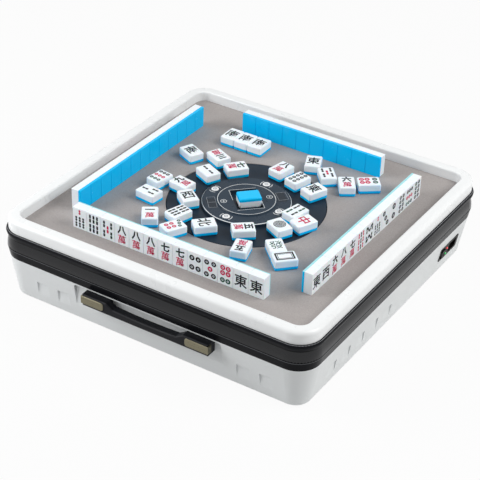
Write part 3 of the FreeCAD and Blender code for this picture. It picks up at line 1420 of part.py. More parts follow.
def level_edges_at(plate, x):
    """The edges of a plate that lie level in the upright plane at x."""
    return [edge for edge in plate.Edges
            if edge.BoundBox.ZLength < FREE_GAP
            and abs(edge.BoundBox.XMin - x) < FREE_GAP
            and abs(edge.BoundBox.XMax - x) < FREE_GAP]


def handle_end_plates():
    """Metal angles on the front of the end blocks, bent round their outer ends, edges rounded."""
    plates = []
    front = -HANDLE_FRONT - END_PLATE_THICKNESS
    for direction in (-1, 1):
        outer = direction * (HANDLE_HALF_LENGTH + END_PLATE_THICKNESS)
        inner = direction * (HANDLE_HALF_LENGTH - END_PLATE_LENGTH)
        steps = [
            (direction * HANDLE_HALF_LENGTH, -HANDLE_FRONT),
            (direction * HANDLE_HALF_LENGTH, -HANDLE_FRONT + END_PLATE_WRAP),
            (outer, -HANDLE_FRONT + END_PLATE_WRAP),
            (outer, front),
            (inner, front),
            (inner, -HANDLE_FRONT),
        ]
        face = Part.Face(outline(steps, flat_at(END_PLATE_BOTTOM_Z)))
        plate = face.extrude(Vector(0, 0, END_PLATE_TOP_Z - END_PLATE_BOTTOM_Z))
        plate = plate.makeFillet(END_PLATE_CORNER_RADIUS, level_edges_at(plate, inner))
        plate = plate.makeFillet(END_PLATE_EDGE_RADIUS, level_edges_at(plate, outer) + [
            edge for edge in plate.Edges if edge.BoundBox.YMax < front + FREE_GAP])
        plates.append(moved(plate, HANDLE_MIDDLE, 0, 0))
    return plates


def bush_start():
    return -POCKET_BACK + POCKET_PAD


def rod_collar_start():
    return bush_start() + BUSH_LENGTH + HANDLE_TRAVEL + STOP_CLEARANCE


def handle_rods():
    rods = []
    front = -POCKET_BACK - FREE_GAP - ROD_GRIP_DEPTH
    for x in rod_places():
        end = rod_collar_start() + ROD_COLLAR_THICKNESS
        shaft = rod(ROD_RADIUS, Vector(x, front, ROD_Z), end - front, ALONG_Y)
        collar = rod(ROD_COLLAR_RADIUS, Vector(x, rod_collar_start(), ROD_Z), ROD_COLLAR_THICKNESS, ALONG_Y)
        rods.append(shaft.fuse(collar))
    return rods


def handle_bushes():
    bushes = []
    for x in rod_places():
        bushes.append(tube(BUSH_RADIUS, ROD_RADIUS + RUNNING_CLEARANCE,
                           Vector(x, bush_start(), ROD_Z), BUSH_LENGTH, ALONG_Y))
    return bushes


# Screws

def deck_screw_places():
    places = []
    for side in range(4):
        for along in (-DECK_SCREW_SPREAD, DECK_SCREW_SPREAD):
            turned = Rotation(UP, RIGHT_ANGLE * side).multVec(Vector(along, -DECK_SCREW_PLACE, 0))
            places.append((turned.x, turned.y))
    return places


def screw(x, y, head_z, length):
    """Screw with its head down and its shank up."""
    head = rod(SCREW_HEAD_RADIUS, Vector(x, y, head_z), SCREW_HEAD_HEIGHT)
    shank = rod(SCREW_SHANK_RADIUS, Vector(x, y, head_z + SCREW_HEAD_HEIGHT), length)
    return head.fuse(shank)


def base_screws():
    screws = []
    for x, y in post_places():
        screws.append(screw(x, y, FOOT_HEIGHT + COUNTERBORE_CLEARANCE,
                            SCREW_LENGTH - COUNTERBORE_CLEARANCE - SCREW_CLEARANCE))
    return screws


def deck_screws():
    screws = []
    for x, y in deck_screw_places():
        screws.append(screw(x, y, LEDGE_Z - SCREW_HEAD_HEIGHT, DECK_SCREW_LENGTH))
    return screws


# Assembly

def all_nodes():
    nodes = {
        "lower_shell": lower_shell(),
        "rubber_feet": rubber_feet(),
        "lower_band": lower_band(),
        "upper_band": upper_band(),
        "top_frame": top_frame(),
        "deck_board": deck_board(),
        "play_mat": play_mat(),
        "mat_tiles": mat_tiles(),
        "centre_plate": centre_plate(),
        "plate_tiles": plate_tiles(),
        "control_disc": control_disc(),
        "display_windows": display_windows(),
        "control_housing": control_housing(),
        "control_board": control_board(),
        "control_stem": control_stem(),
        "well_tile": laid_tile(WELL_TILE_X, WELL_TILE_Y, WELL_FLOOR_Z, WELL_TILE_TURN),
        "centre_guide_sleeve": guide_sleeve(),
        "centre_lead_screw": centre_screw(),
        "centre_lift_motor": centre_motor(),
        "shuffling_drum": shuffling_drum(),
        "drum_bearing": drum_bearing(),
        "drum_belt": drum_belt(),
        "drum_motor": drum_motor(),
        "drum_pulley": drum_pulley(),
        "tile_tracks": tile_tracks(),
        "pickup_motors": pickup_motors(),
        "lift_guide_posts": guide_posts(),
        "lift_motors": lift_motors(),
        "circuit_board": circuit_board(),
        "power_supply": power_supply(),
        "power_panel": power_panel(),
        "inlet_pins": inlet_pins(),
        "power_switch": power_switch(),
        "panel_lamps": panel_lamps(),
        "handle_grip": handle_grip(),
        "handle_end_plates": handle_end_plates(),
        "handle_rods": handle_rods(),
        "handle_bushes": handle_bushes(),
        "case_screws": base_screws() + deck_screws(),
    }
    rows = (
        tile_row(FRONT_ROW_COUNT, FRONT_ROW_MIDDLE, FRONT_ROW_SETBACK),
        tile_row(RIGHT_ROW_COUNT, RIGHT_ROW_MIDDLE, RIGHT_ROW_SETBACK),
        tile_row(BACK_ROW_COUNT, BACK_ROW_MIDDLE, BACK_ROW_SETBACK),
        tile_row(LEFT_ROW_COUNT, LEFT_ROW_MIDDLE, LEFT_ROW_SETBACK),
    )
    carriage = lift_carriage()
    for number, side in enumerate(SIDES):
        turn = RIGHT_ANGLE * number
        nodes[side + "_lift_carriage"] = about_z(carriage, turn)
        nodes[side + "_lift_pinion"] = about_z(pinion(), turn)
        nodes[side + "_tile_row"] = [about_z(piece, turn) for piece in rows[number]]
        nodes[side + "_pickup_wheel"] = [about_z(piece, turn) for piece in pickup_wheel()]
        x, y = button_places()[number]
        nodes[side + "_button"] = control_button(x, y)
    return nodes


def main():
    os.makedirs("parts", exist_ok=True)
    for name, shape in all_nodes().items():
        solids = shape if isinstance(shape, list) else shape.Solids
        whole = solids[0] if len(solids) == 1 else Part.makeCompound(solids)
        whole = moved(whole, 0, FOOTPRINT_SHIFT, 0)
        whole.exportStep(os.path.join("parts", name + ".step"))


main()
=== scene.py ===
"""Looks of the automatic mahjong table, in metres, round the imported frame."""

import math

import bmesh
import bpy
from mathutils import Matrix, Vector


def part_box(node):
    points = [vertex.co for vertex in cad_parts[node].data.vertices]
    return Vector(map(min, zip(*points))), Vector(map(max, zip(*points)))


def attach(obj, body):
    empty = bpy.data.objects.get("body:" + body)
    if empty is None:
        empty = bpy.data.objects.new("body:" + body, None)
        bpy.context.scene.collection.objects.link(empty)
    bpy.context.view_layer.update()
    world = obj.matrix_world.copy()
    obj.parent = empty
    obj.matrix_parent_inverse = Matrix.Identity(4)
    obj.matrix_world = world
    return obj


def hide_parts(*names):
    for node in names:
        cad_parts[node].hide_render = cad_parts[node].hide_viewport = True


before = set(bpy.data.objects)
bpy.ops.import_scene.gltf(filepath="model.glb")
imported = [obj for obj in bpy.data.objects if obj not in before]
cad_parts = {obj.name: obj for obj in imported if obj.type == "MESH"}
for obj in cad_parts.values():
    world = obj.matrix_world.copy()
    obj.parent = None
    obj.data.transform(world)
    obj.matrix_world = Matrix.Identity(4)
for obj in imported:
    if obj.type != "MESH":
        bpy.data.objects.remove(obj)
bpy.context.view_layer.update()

MM = 0.001
UP = Vector((0, 0, 1))
RIGHT_ANGLE = math.pi / 2
FULL_TURN = 2 * math.pi
SIDES = ("front", "right", "back", "left")

# Tiles, in millimetres. Values for the rows run front, right, back, left
TILE = (23.8, 33.0, 16.0)
TILE_GAP = 0.2
ROW_TILE_ROUND = 0.6
LOOSE_TILE_ROUND = 2.2
ROW_BLUE_LAYER = (2.2, 3.6, 4.2, 4.2)
LOOSE_BLUE_LAYER = 5.4
ROW_FACE = (192.0, 194.0, 191.0, 195.0)
ROW_MIDDLE = (-8.0, 9.0, -1.0, -1.5)

# Mat and lift pads, in millimetres
FIELD_HALF = 232.0
MAT_HALF = 231.7
MAT_CORNER = 15.7
MAT_TOP = 113.6
MAT_THICKNESS = 1.6
MAT_EDGE_ROUND = 0.5
RING_OPENING = 116.0
PAD_LOW = (-224.35, -203.85)
PAD_HIGH = (165.35, -170.15)
PAD_SIZE = tuple(high - low for low, high in zip(PAD_LOW, PAD_HIGH))
PAD_CENTRE = tuple((low + high) / 2 for low, high in zip(PAD_LOW, PAD_HIGH))
PAD_THICKNESS = 0.9
PAD_MIDDLE = MAT_TOP - 0.4

# Control disc, in millimetres. The well's tile is given by its place and its turn
DISC_TOP = 119.0
DISC_RING = (63.9, 64.7)
DISC_RING_HEIGHT = 118.5
DISC_RING_DROP = 0.8
CROWN_TOP = 121.0
CROWN_RING = (41.4, 42.2)
SYMBOL_CIRCLE = 33.7
WELL_FLOOR = 114.5
WELL_HALF = (27.5, 19.5)
WELL_TILE = (4.2, -0.5, WELL_FLOOR, -44.4)
BUTTON_CIRCLE = 54.0
BUTTON_TOP = 120.0
BUTTON_ARC = (8.0, 9.0)

# Case, power panel and print, in millimetres
STRAIGHT_HALF = 216.0
BAND_EDGE = 81.7
LINE_DEPTH = 0.4
LENS_RADIUS = 1.6
BARREL_LENGTH = 10.0
WALL_SLOPE = math.radians(9.56)
INK = 0.05

# Thickness of a character one unit high, which is drawn 14 to 20 times as large
GLYPH_INK = INK / 13

# How far the strokes of a character are fattened, as a share of its height
NUMBER_WEIGHT = 0.042
SUIT_WEIGHT = 0.012
HONOUR_WEIGHT = 0.018
PLAIN_WEIGHT = 0.0


# Places

def middle_of(node):
    low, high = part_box(node)
    return (low + high) / 2


CASE_MIDDLE = Vector((0, middle_of("control_disc").y, 0))


def placed(x, y, z, degrees=0.0):
    """Matrix for a place given in millimetres from the middle of the case."""
    here = Vector((x, y, z)) * MM + CASE_MIDDLE
    return Matrix.Translation(here) @ Matrix.Rotation(math.radians(degrees), 4, "Z")


def side_turn(number):
    """Turn that carries the front side to the numbered side."""
    return Matrix.Rotation(RIGHT_ANGLE * number, 4, "Z")


def at_side(number):
    """Matrix that carries a place given for the front to the numbered side of the case."""
    return Matrix.Translation(CASE_MIDDLE) @ side_turn(number)


# Shader groups

def socket(tree, name, direction, kind, value=None):
    made = tree.interface.new_socket(name=name, in_out=direction, socket_type=kind)
    if value is not None:
        made.default_value = value
    return made


def new_group(name, inputs, outputs):
    """An empty node group with its sockets, its input node and its output node."""
    tree = bpy.data.node_groups.new(name, "ShaderNodeTree")
    for label, kind, value in inputs:
        socket(tree, label, "INPUT", kind, value)
    for label, kind in outputs:
        socket(tree, label, "OUTPUT", kind)
    return tree, tree.nodes.new("NodeGroupInput"), tree.nodes.new("NodeGroupOutput")


def noise(tree, vector, scale, detail, roughness=0.5):
    made = tree.nodes.new("ShaderNodeTexNoise")
    tree.links.new(vector, made.inputs["Vector"])
    for name, value in (("Scale", scale), ("Detail", detail), ("Roughness", roughness)):
        if isinstance(value, bpy.types.NodeSocket):
            tree.links.new(value, made.inputs[name])
        else:
            made.inputs[name].default_value = value
    return made.outputs["Fac"]


def math_node(tree, operation, first, second):
    made = tree.nodes.new("ShaderNodeMath")
    made.operation = operation
    for at, value in enumerate((first, second)):
        if isinstance(value, bpy.types.NodeSocket):
            tree.links.new(value, made.inputs[at])
        else:
            made.inputs[at].default_value = value
    return made.outputs[0]


def stretch(tree, value, low, high, new_low, new_high):
    """Map a value from one range onto another, clamped."""
    made = tree.nodes.new("ShaderNodeMapRange")
    tree.links.new(value, made.inputs["Value"])
    levels = {"From Min": low, "From Max": high, "To Min": new_low, "To Max": new_high}
    for name, level in levels.items():
        if isinstance(level, bpy.types.NodeSocket):
            tree.links.new(level, made.inputs[name])
        else:
            made.inputs[name].default_value = level
    return made.outputs["Result"]


def mixed(tree, share, first, second):
    made = tree.nodes.new("ShaderNodeMix")
    made.data_type = "RGBA"
    for name, value in (("Factor", share), ("A", first), ("B", second)):
        inputs = [entry for entry in made.inputs if entry.name == name and entry.enabled]
        if isinstance(value, bpy.types.NodeSocket):
            tree.links.new(value, inputs[0])
        else:
            inputs[0].default_value = value
    return [entry for entry in made.outputs if entry.enabled][0]


COLOUR = "NodeSocketColor"
NUMBER = "NodeSocketFloat"
PLACE = "NodeSocketVector"


def moulded_group():
    """Moulded plastic: fine spark-eroded grain, slow colour drift, and handling marks."""
    tree, given, out = new_group(
        "moulded_plastic",
        (("Place", PLACE, None), ("Colour", COLOUR, (0.8, 0.8, 0.8, 1)), ("Drift", NUMBER, 0.04),
         ("Grain Scale", NUMBER, 900.0), ("Smooth", NUMBER, 0.3), ("Rough", NUMBER, 0.45)),
        (("Colour", COLOUR), ("Roughness", NUMBER), ("Height", NUMBER)),
    )
    place = given.outputs["Place"]
    slow = noise(tree, place, 9.0, 3.0)
    darker = math_node(tree, "SUBTRACT", 1.0, math_node(tree, "MULTIPLY", slow, given.outputs["Drift"]))
    dark = tree.nodes.new("ShaderNodeVectorMath")
    dark.operation = "SCALE"
    tree.links.new(given.outputs["Colour"], dark.inputs[0])
    tree.links.new(darker, dark.inputs["Scale"])
    tree.links.new(dark.outputs["Vector"], out.inputs["Colour"])
    marks = noise(tree, place, 34.0, 5.0, 0.6)
    tree.links.new(stretch(tree, marks, 0.35, 0.68, given.outputs["Smooth"], given.outputs["Rough"]),
                   out.inputs["Roughness"])
    tree.links.new(noise(tree, place, given.outputs["Grain Scale"], 2.0), out.inputs["Height"])
    return tree


def pile_group():
    """Short pile: tufts that lean different ways, with shade between them."""
    tree, given, out = new_group(
        "short_pile",
        (("Place", PLACE, None), ("Tip", COLOUR, (0.3, 0.3, 0.3, 1)),
         ("Root", COLOUR, (0.2, 0.2, 0.2, 1)), ("Tuft Scale", NUMBER, 700.0)),
        (("Colour", COLOUR), ("Height", NUMBER)),
    )
    place = given.outputs["Place"]
    tufts = noise(tree, place, given.outputs["Tuft Scale"], 3.0, 0.65)
    brushed = noise(tree, place, 6.0, 4.0, 0.55)
    brushed_share, tuft_share = 0.45, 0.62
    total = math_node(tree, "ADD", math_node(tree, "MULTIPLY", brushed, brushed_share),
                      math_node(tree, "MULTIPLY", tufts, tuft_share))
    tree.links.new(mixed(tree, stretch(tree, total, 0.3, 0.72, 0.0, 1.0),
                         given.outputs["Root"], given.outputs["Tip"]), out.inputs["Colour"])
    tree.links.new(tufts, out.inputs["Height"])
    return tree


def brushed_group():
    """Metal brushed along one direction: Place arrives already stretched."""
    tree, given, out = new_group(
        "brushed_metal",
        (("Place", PLACE, None), ("Colour", COLOUR, (0.5, 0.5, 0.5, 1)), ("Lines", NUMBER, 60.0),
         ("Smooth", NUMBER, 0.2), ("Rough", NUMBER, 0.4)),
        (("Colour", COLOUR), ("Roughness", NUMBER), ("Height", NUMBER)),
    )
    lines = noise(tree, given.outputs["Place"], given.outputs["Lines"], 4.0, 0.7)
    darker = stretch(tree, lines, 0.3, 0.7, 0.9, 1.0)
    tint = tree.nodes.new("ShaderNodeVectorMath")
    tint.operation = "SCALE"
    tree.links.new(given.outputs["Colour"], tint.inputs[0])
    tree.links.new(darker, tint.inputs["Scale"])
    tree.links.new(tint.outputs["Vector"], out.inputs["Colour"])
    tree.links.new(stretch(tree, lines, 0.3, 0.7, given.outputs["Smooth"], given.outputs["Rough"]),
                   out.inputs["Roughness"])
    tree.links.new(lines, out.inputs["Height"])
    return tree


def polished_group():
    """How much clear gloss a moulding carries: none below a level, all of it above."""
    tree, given, out = new_group(
        "polished_above",
        (("Place", PLACE, None), ("Level", NUMBER, 0.0), ("Gloss", NUMBER, 0.5)),
        (("Gloss", NUMBER),),
    )
    parts = tree.nodes.new("ShaderNodeSeparateXYZ")
    tree.links.new(given.outputs["Place"], parts.inputs["Vector"])
    above = math_node(tree, "GREATER_THAN", parts.outputs["Z"], given.outputs["Level"])
    tree.links.new(math_node(tree, "MULTIPLY", above, given.outputs["Gloss"]), out.inputs["Gloss"])
    return tree


MOULDED = moulded_group()
POLISHED = polished_group()
PILE = pile_group()
BRUSHED = brushed_group()


# Materials

def linear(red, green, blue):
    """Scene colour of an 8-bit screen colour."""
    shares = []
    for level in (red, green, blue):
        share = level / 255
        shares.append(share / 12.92 if share <= 0.04045 else ((share + 0.055) / 1.055) ** 2.4)
    return (*shares, 1)


def new_material(name, **levels):
    """Material with a plain shader whose own sockets take the given levels."""
    made = bpy.data.materials.new(name)
    made.use_nodes = True
    shader = made.node_tree.nodes["Principled BSDF"]
    for label, value in levels.items():
        shader.inputs[label.replace("_", " ")].default_value = value
    return made, made.node_tree, shader


def textured(name, group, values, links, bump, bump_distance, stretched=(1, 1, 1), **levels):
    """Material whose shader is fed by one group that reads Object coordinates."""
    made, tree, shader = new_material(name, **levels)
    coordinates = tree.nodes.new("ShaderNodeTexCoord")
    mapping = tree.nodes.new("ShaderNodeMapping")
    mapping.inputs["Scale"].default_value = stretched
    tree.links.new(coordinates.outputs["Object"], mapping.inputs["Vector"])
    placed_group = tree.nodes.new("ShaderNodeGroup")
    placed_group.node_tree = group
    tree.links.new(mapping.outputs["Vector"], placed_group.inputs["Place"])
    for label, value in values.items():
        placed_group.inputs[label].default_value = value
    for label, target in links.items():
        tree.links.new(placed_group.outputs[label], shader.inputs[target])
    relief = tree.nodes.new("ShaderNodeBump")
    relief.inputs["Strength"].default_value = bump
    relief.inputs["Distance"].default_value = bump_distance
    tree.links.new(placed_group.outputs["Height"], relief.inputs["Height"])
    tree.links.new(relief.outputs["Normal"], shader.inputs["Normal"])
    return made


BOTH = {"Colour": "Base Color", "Roughness": "Roughness"}


def plastic(name, colour, smooth, rough, grain=900.0, bump=0.12, drift=0.04, **levels):
    values = {"Colour": colour, "Smooth": smooth, "Rough": rough, "Grain Scale": grain, "Drift": drift}
    return textured(name, MOULDED, values, BOTH, bump, 0.0004, **levels)


def metal(name, colour, smooth, rough, stretched, lines=60.0, **levels):
    values = {"Colour": colour, "Smooth": smooth, "Rough": rough, "Lines": lines}
    return textured(name, BRUSHED, values, BOTH, 0.1, 0.0003, stretched, Metallic=1.0, **levels)


def pile(name, tip, root, scale=700.0):
    values = {"Tip": tip, "Root": root, "Tuft Scale": scale}
    return textured(name, PILE, values, {"Colour": "Base Color"}, 0.35, 0.0006,
                    Roughness=0.88, Sheen_Weight=0.12, Sheen_Roughness=0.6)


def polish_above(material, level, gloss):
    """Clear gloss on a material above one height."""
    tree = material.node_tree
    coordinates = tree.nodes.new("ShaderNodeTexCoord")
    polish = tree.nodes.new("ShaderNodeGroup")
    polish.node_tree = POLISHED
    polish.inputs["Level"].default_value = level
    polish.inputs["Gloss"].default_value = gloss
    tree.links.new(coordinates.outputs["Object"], polish.inputs["Place"])
    tree.links.new(polish.outputs["Gloss"], tree.nodes["Principled BSDF"].inputs["Coat Weight"])


SHELL = plastic("shell_plastic", linear(224, 227, 228), 0.34, 0.46, bump=0.1, drift=0.03)
FRAME = plastic("frame_plastic", linear(240, 242, 243), 0.26, 0.38, bump=0.06, drift=0.02)
UPPER_BAND = plastic("upper_band_satin", linear(22, 23, 27), 0.3, 0.4, grain=500.0, bump=0.03, drift=0.2,
                     Specular_IOR_Level=0.06)
LOWER_BAND = plastic("lower_band_gloss", linear(18, 19, 23), 0.2, 0.3, grain=500.0, bump=0.03, drift=0.2,
                     Specular_IOR_Level=0.06, Coat_Roughness=0.1)
polish_above(LOWER_BAND, BAND_EDGE * MM, 0.65)
MAT = pile("mat_pile", linear(169, 163, 161), linear(141, 135, 133))
TILE_WHITE = plastic("tile_body", linear(243, 250, 255), 0.12, 0.24, grain=300.0, bump=0.02, drift=0.03,
                     Subsurface_Weight=0.15, Subsurface_Scale=0.004)
TILE_BLUE = plastic("tile_back", linear(4, 196, 255), 0.16, 0.28, grain=300.0, bump=0.02, drift=0.05,
                    Specular_IOR_Level=0.2)
# Pale cyan for the lit top and right sides of the blue layer: a painted highlight
TILE_BLUE_PAINTED_HIGHLIGHT = plastic("tile_back_painted_highlight", linear(165, 230, 236), 0.16, 0.28, grain=300.0, bump=0.02,
                    drift=0.05)
INK_BLACK = plastic("ink_black", linear(24, 26, 30), 0.35, 0.5, drift=0.1, Specular_IOR_Level=0.2)
INK_RED = plastic("ink_red", linear(204, 34, 84), 0.35, 0.5, drift=0.1, Specular_IOR_Level=0.2)
INK_GREEN = plastic("ink_green", linear(24, 78, 62), 0.35, 0.5, drift=0.1, Specular_IOR_Level=0.2)
PLATE = plastic("plate_slate", linear(35, 46, 58), 0.3, 0.42, grain=700.0, bump=0.08, drift=0.08,
                Specular_IOR_Level=0.1)
DISC = plastic("disc_slate", linear(43, 56, 69), 0.24, 0.36, grain=700.0, bump=0.05, drift=0.08,
               Specular_IOR_Level=0.12)
# Light grey for the line at the lower band's widest edge: a painted highlight
EDGE_HIGHLIGHT_GREY = plastic("band_edge_painted_highlight", linear(78, 80, 84), 0.3, 0.45, drift=0.08, Specular_IOR_Level=0.2)
# Light grey for the line along the upper band's top edge: a painted highlight
TOP_HIGHLIGHT_GREY = plastic("band_top_painted_highlight", linear(150, 152, 156), 0.3, 0.45, drift=0.08, Specular_IOR_Level=0.2)
# Near-black for the line just above the lower band's widest edge: painted shade
BAND_SHADE_BLACK = plastic("band_painted_shade", linear(12, 12, 14), 0.6, 0.8, drift=0.2, Specular_IOR_Level=0.02)
PRINT = plastic("print_white", linear(225, 228, 230), 0.4, 0.55, drift=0.08)
PRINT_GREY = plastic("print_grey", linear(142, 148, 156), 0.4, 0.55, drift=0.08)
CAP = plastic("button_cap", linear(240, 241, 242), 0.2, 0.3, bump=0.03)
WINDOW_DARK = plastic("window_smoked", linear(32, 42, 52), 0.08, 0.14, bump=0.02,
                      Specular_IOR_Level=0.15)
HANDLE = plastic("handle_black", linear(26, 27, 31), 0.3, 0.45, grain=600.0, bump=0.15, drift=0.12,
                 Specular_IOR_Level=0.12)
PANEL = plastic("panel_black", linear(18, 17, 17), 0.3, 0.42, grain=600.0, bump=0.12, drift=0.12,
                Specular_IOR_Level=0.05)
INNER = plastic("inner_grey", linear(120, 124, 130), 0.4, 0.55, drift=0.08)
DRUM = plastic("drum_grey", linear(92, 96, 102), 0.35, 0.5, drift=0.08)
BOARD = plastic("board_green", linear(28, 92, 60), 0.3, 0.45, grain=400.0, drift=0.3)
RUBBER = plastic("foot_rubber", linear(34, 34, 34), 0.6, 0.8, grain=500.0, bump=0.3, drift=0.2)
MOTOR = plastic("motor_case", linear(120, 124, 128), 0.3, 0.4, drift=0.1, Metallic=0.7)
WOOD = plastic("deck_fibreboard", linear(176, 142, 104), 0.6, 0.75, grain=350.0, bump=0.2, drift=0.35)
STEEL = metal("turned_steel", linear(205, 205, 208), 0.18, 0.34, (1, 1, 14))
BRASS = metal("sintered_brass", linear(196, 160, 96), 0.28, 0.42, (1, 1, 1), 300.0)
CHAMPAGNE = metal("champagne_plate", linear(124, 119, 100), 0.24, 0.38, (1, 10, 14))


def lamp(name, colour, glow):
    made, tree, shader = new_material(name, Base_Color=colour, Roughness=0.12, Coat_Weight=0.6,
                                      Emission_Strength=glow)
    shader.inputs["Emission Color"].default_value = colour
    return made


LAMP_RED = lamp("lamp_red", linear(232, 30, 48), 0.5)
LAMP_GREEN = lamp("lamp_green", linear(20, 190, 90), 0.35)


def finish_node(name, material):
    """Give a node of the frame one material."""
    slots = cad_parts[name].data.materials
    slots.clear()
    slots.append(material)


NODE_FINISHES = {
    "lower_shell": SHELL, "top_frame": FRAME, "lower_band": LOWER_BAND, "upper_band": UPPER_BAND,
    "rubber_feet": RUBBER, "deck_board": WOOD, "centre_plate": PLATE, "control_disc": DISC,
    "display_windows": WINDOW_DARK, "control_housing": INNER, "control_board": BOARD,
    "control_stem": STEEL, "centre_guide_sleeve": INNER, "centre_lead_screw": STEEL,
    "centre_lift_motor": MOTOR, "shuffling_drum": DRUM, "drum_bearing": BRASS, "drum_belt": RUBBER,
    "drum_motor": MOTOR, "drum_pulley": STEEL, "tile_tracks": INNER, "pickup_motors": MOTOR,
    "lift_guide_posts": STEEL, "lift_motors": MOTOR, "circuit_board": BOARD, "power_supply": MOTOR,
    "power_panel": PANEL, "inlet_pins": STEEL, "power_switch": PANEL,
    "handle_grip": HANDLE, "handle_end_plates": CHAMPAGNE, "handle_rods": STEEL,
    "handle_bushes": BRASS, "case_screws": STEEL,
}
for side in SIDES:
    NODE_FINISHES[side + "_lift_carriage"] = INNER
    NODE_FINISHES[side + "_lift_pinion"] = BRASS
    NODE_FINISHES[side + "_pickup_wheel"] = DRUM
    NODE_FINISHES[side + "_button"] = CAP
for node_name, finish in NODE_FINISHES.items():
    finish_node(node_name, finish)


# Mesh helpers

def piece(name, bm, materials, body):
    """Object at the origin that carries the finished mesh and rides with its body."""
    mesh = bpy.data.meshes.new(name)
    bm.to_mesh(mesh)
    bm.free()
    for material in materials:
        mesh.materials.append(material)
    made = bpy.data.objects.new(name, mesh)
    bpy.context.scene.collection.objects.link(made)
    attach(made, body)
    return made


def add_mesh(bm, mesh, matrix):
    """Append a mesh to bm at the given place."""
    start = len(bm.verts)
    bm.from_mesh(mesh)
    bm.verts.ensure_lookup_table()
    bmesh.ops.transform(bm, matrix=matrix, verts=bm.verts[start:])


def to_mesh(bm, name):
    mesh = bpy.data.meshes.new(name)
    bm.to_mesh(mesh)
    bm.free()
    return mesh


def thicken_up(bm, faces, height):
    """Turn flat faces into a thin closed body that rises by height."""
    made = bmesh.ops.extrude_face_region(bm, geom=faces, use_keep_orig=True)
    raised = [entry for entry in made["geom"] if isinstance(entry, bmesh.types.BMVert)]
    bmesh.ops.translate(bm, vec=(0, 0, height), verts=raised)
    bmesh.ops.recalc_face_normals(bm, faces=bm.faces)


def band_arc(bm, centre, inner, outer, start, sweep, steps, height, drop=0.0):
    """Arc band, or a whole ring where sweep is a full turn, its outer edge lower by drop."""
    full = sweep == FULL_TURN
    direction = Vector((math.cos(start), math.sin(start), 0))
    near = bm.verts.new(centre + direction * inner)
    far = bm.verts.new(centre + direction * outer - UP * drop)
    edge = bm.edges.new((near, far))
    before = set(bm.faces)
    bmesh.ops.spin(bm, geom=[near, far, edge], cent=centre, axis=UP, angle=sweep, steps=steps,
                   use_merge=full)
    thicken_up(bm, [face for face in bm.faces if face not in before], height)


def smooth_small_faces(bm, flat_area):
    """Shade the narrow faces of rounded edges smooth and the broad ones flat."""
    for face in bm.faces:
        face.smooth = face.calc_area() < flat_area


# Characters and marks on the tiles, drawn in millimetres on the plane of the face

glyph_meshes = {}


def glyph(character, weight):
    """Mesh of one character about its own middle, one unit high, with a thin body."""
    key = (character, weight)
    if key in glyph_meshes:
        return glyph_meshes[key]
    curve = bpy.data.curves.new("glyph", "FONT")
    curve.body = character
    curve.offset = weight
    curve.resolution_u = 2
    text = bpy.data.objects.new("glyph", curve)
    bpy.context.scene.collection.objects.link(text)
    depsgraph = bpy.context.evaluated_depsgraph_get()
    flat = bpy.data.meshes.new_from_object(text.evaluated_get(depsgraph))
    bpy.data.objects.remove(text)
    bm = bmesh.new()
    bm.from_mesh(flat)
    bmesh.ops.remove_doubles(bm, verts=bm.verts, dist=0.0005)
    xs = [vert.co.x for vert in bm.verts]
    ys = [vert.co.y for vert in bm.verts]
    bmesh.ops.translate(bm, verts=bm.verts,
                        vec=(-(min(xs) + max(xs)) / 2, -(min(ys) + max(ys)) / 2, 0))
    thicken_up(bm, list(bm.faces), GLYPH_INK)
    glyph_meshes[key] = to_mesh(bm, "glyph_" + str(len(glyph_meshes)))
    return glyph_meshes[key]


def paint(bm, first_face, material):
    """Give every face made since first_face the numbered material."""
    bm.faces.ensure_lookup_table()
    for face in bm.faces[first_face:]:
        face.material_index = material


WHITE, BLUE, BLACK, RED, GREEN, BLUE_PAINTED_HIGHLIGHT = range(6)
TILE_MATERIALS = (TILE_WHITE, TILE_BLUE, INK_BLACK, INK_RED, INK_GREEN, TILE_BLUE_PAINTED_HIGHLIGHT)
# Material of the blue layer's top and right sides in each row; the pale one on the front and right rows
# is a painted highlight
ROW_LIT_SIDE_FINISH = (BLUE_PAINTED_HIGHLIGHT, BLUE_PAINTED_HIGHLIGHT, BLUE, BLUE)


def mark_character(bm, character, x, y, size, ink, weight):
    first = len(bm.faces)
    add_mesh(bm, glyph(character, weight), Matrix.Translation((x, y, 0)) @ Matrix.Scale(size, 4))
    paint(bm, first, ink)


def mark_dot(bm, x, y, radius, ink):
    """A dot of the circle suit: a thick ring about a small disc."""
    first = len(bm.faces)
    centre = Vector((x, y, 0))
    band_arc(bm, centre, radius * 0.42, radius, 0, FULL_TURN, 16, INK)
    band_arc(bm, centre, radius * 0.02, radius * 0.24, 0, FULL_TURN, 8, INK)
    paint(bm, first, ink)


def mark_stick(bm, x, y, length, ink, turn=0.0, width=3.2):
    """A bamboo stick: two halves with rounded ends, and a waist between them."""
    first = len(bm.faces)
    half_length, half_middle, corner = length * 0.46, length * 0.25, width * 0.35
    for direction in (-1, 1):
        verts = bmesh.ops.create_grid(bm, x_segments=1, y_segments=1, size=0.5)["verts"]
        bmesh.ops.scale(bm, vec=(width, half_length, 1), verts=verts)
        bmesh.ops.translate(bm, vec=(0, direction * half_middle, 0), verts=verts)
        corners = bmesh.ops.bevel(bm, geom=verts, offset=corner, segments=2, profile=0.5,
                                  affect="VERTICES", material=-1)
        faces = list({face for vert in corners["verts"] for face in vert.link_faces})
        verts = list({vert for face in faces for vert in face.verts})
        bmesh.ops.transform(bm, verts=verts,
                            matrix=Matrix.Translation((x, y, 0)) @ Matrix.Rotation(turn, 4, "Z"))
        thicken_up(bm, faces, INK)
    paint(bm, first, ink)


def face_character(bm, number):
    """The character suit: a number over the sign of the suit."""
    mark_character(bm, "一二三四五六七八九"[number - 1], 0, 7.6, 14.0, BLACK, NUMBER_WEIGHT)
    mark_character(bm, "萬", 0, -7.0, 14.5, RED, SUIT_WEIGHT)


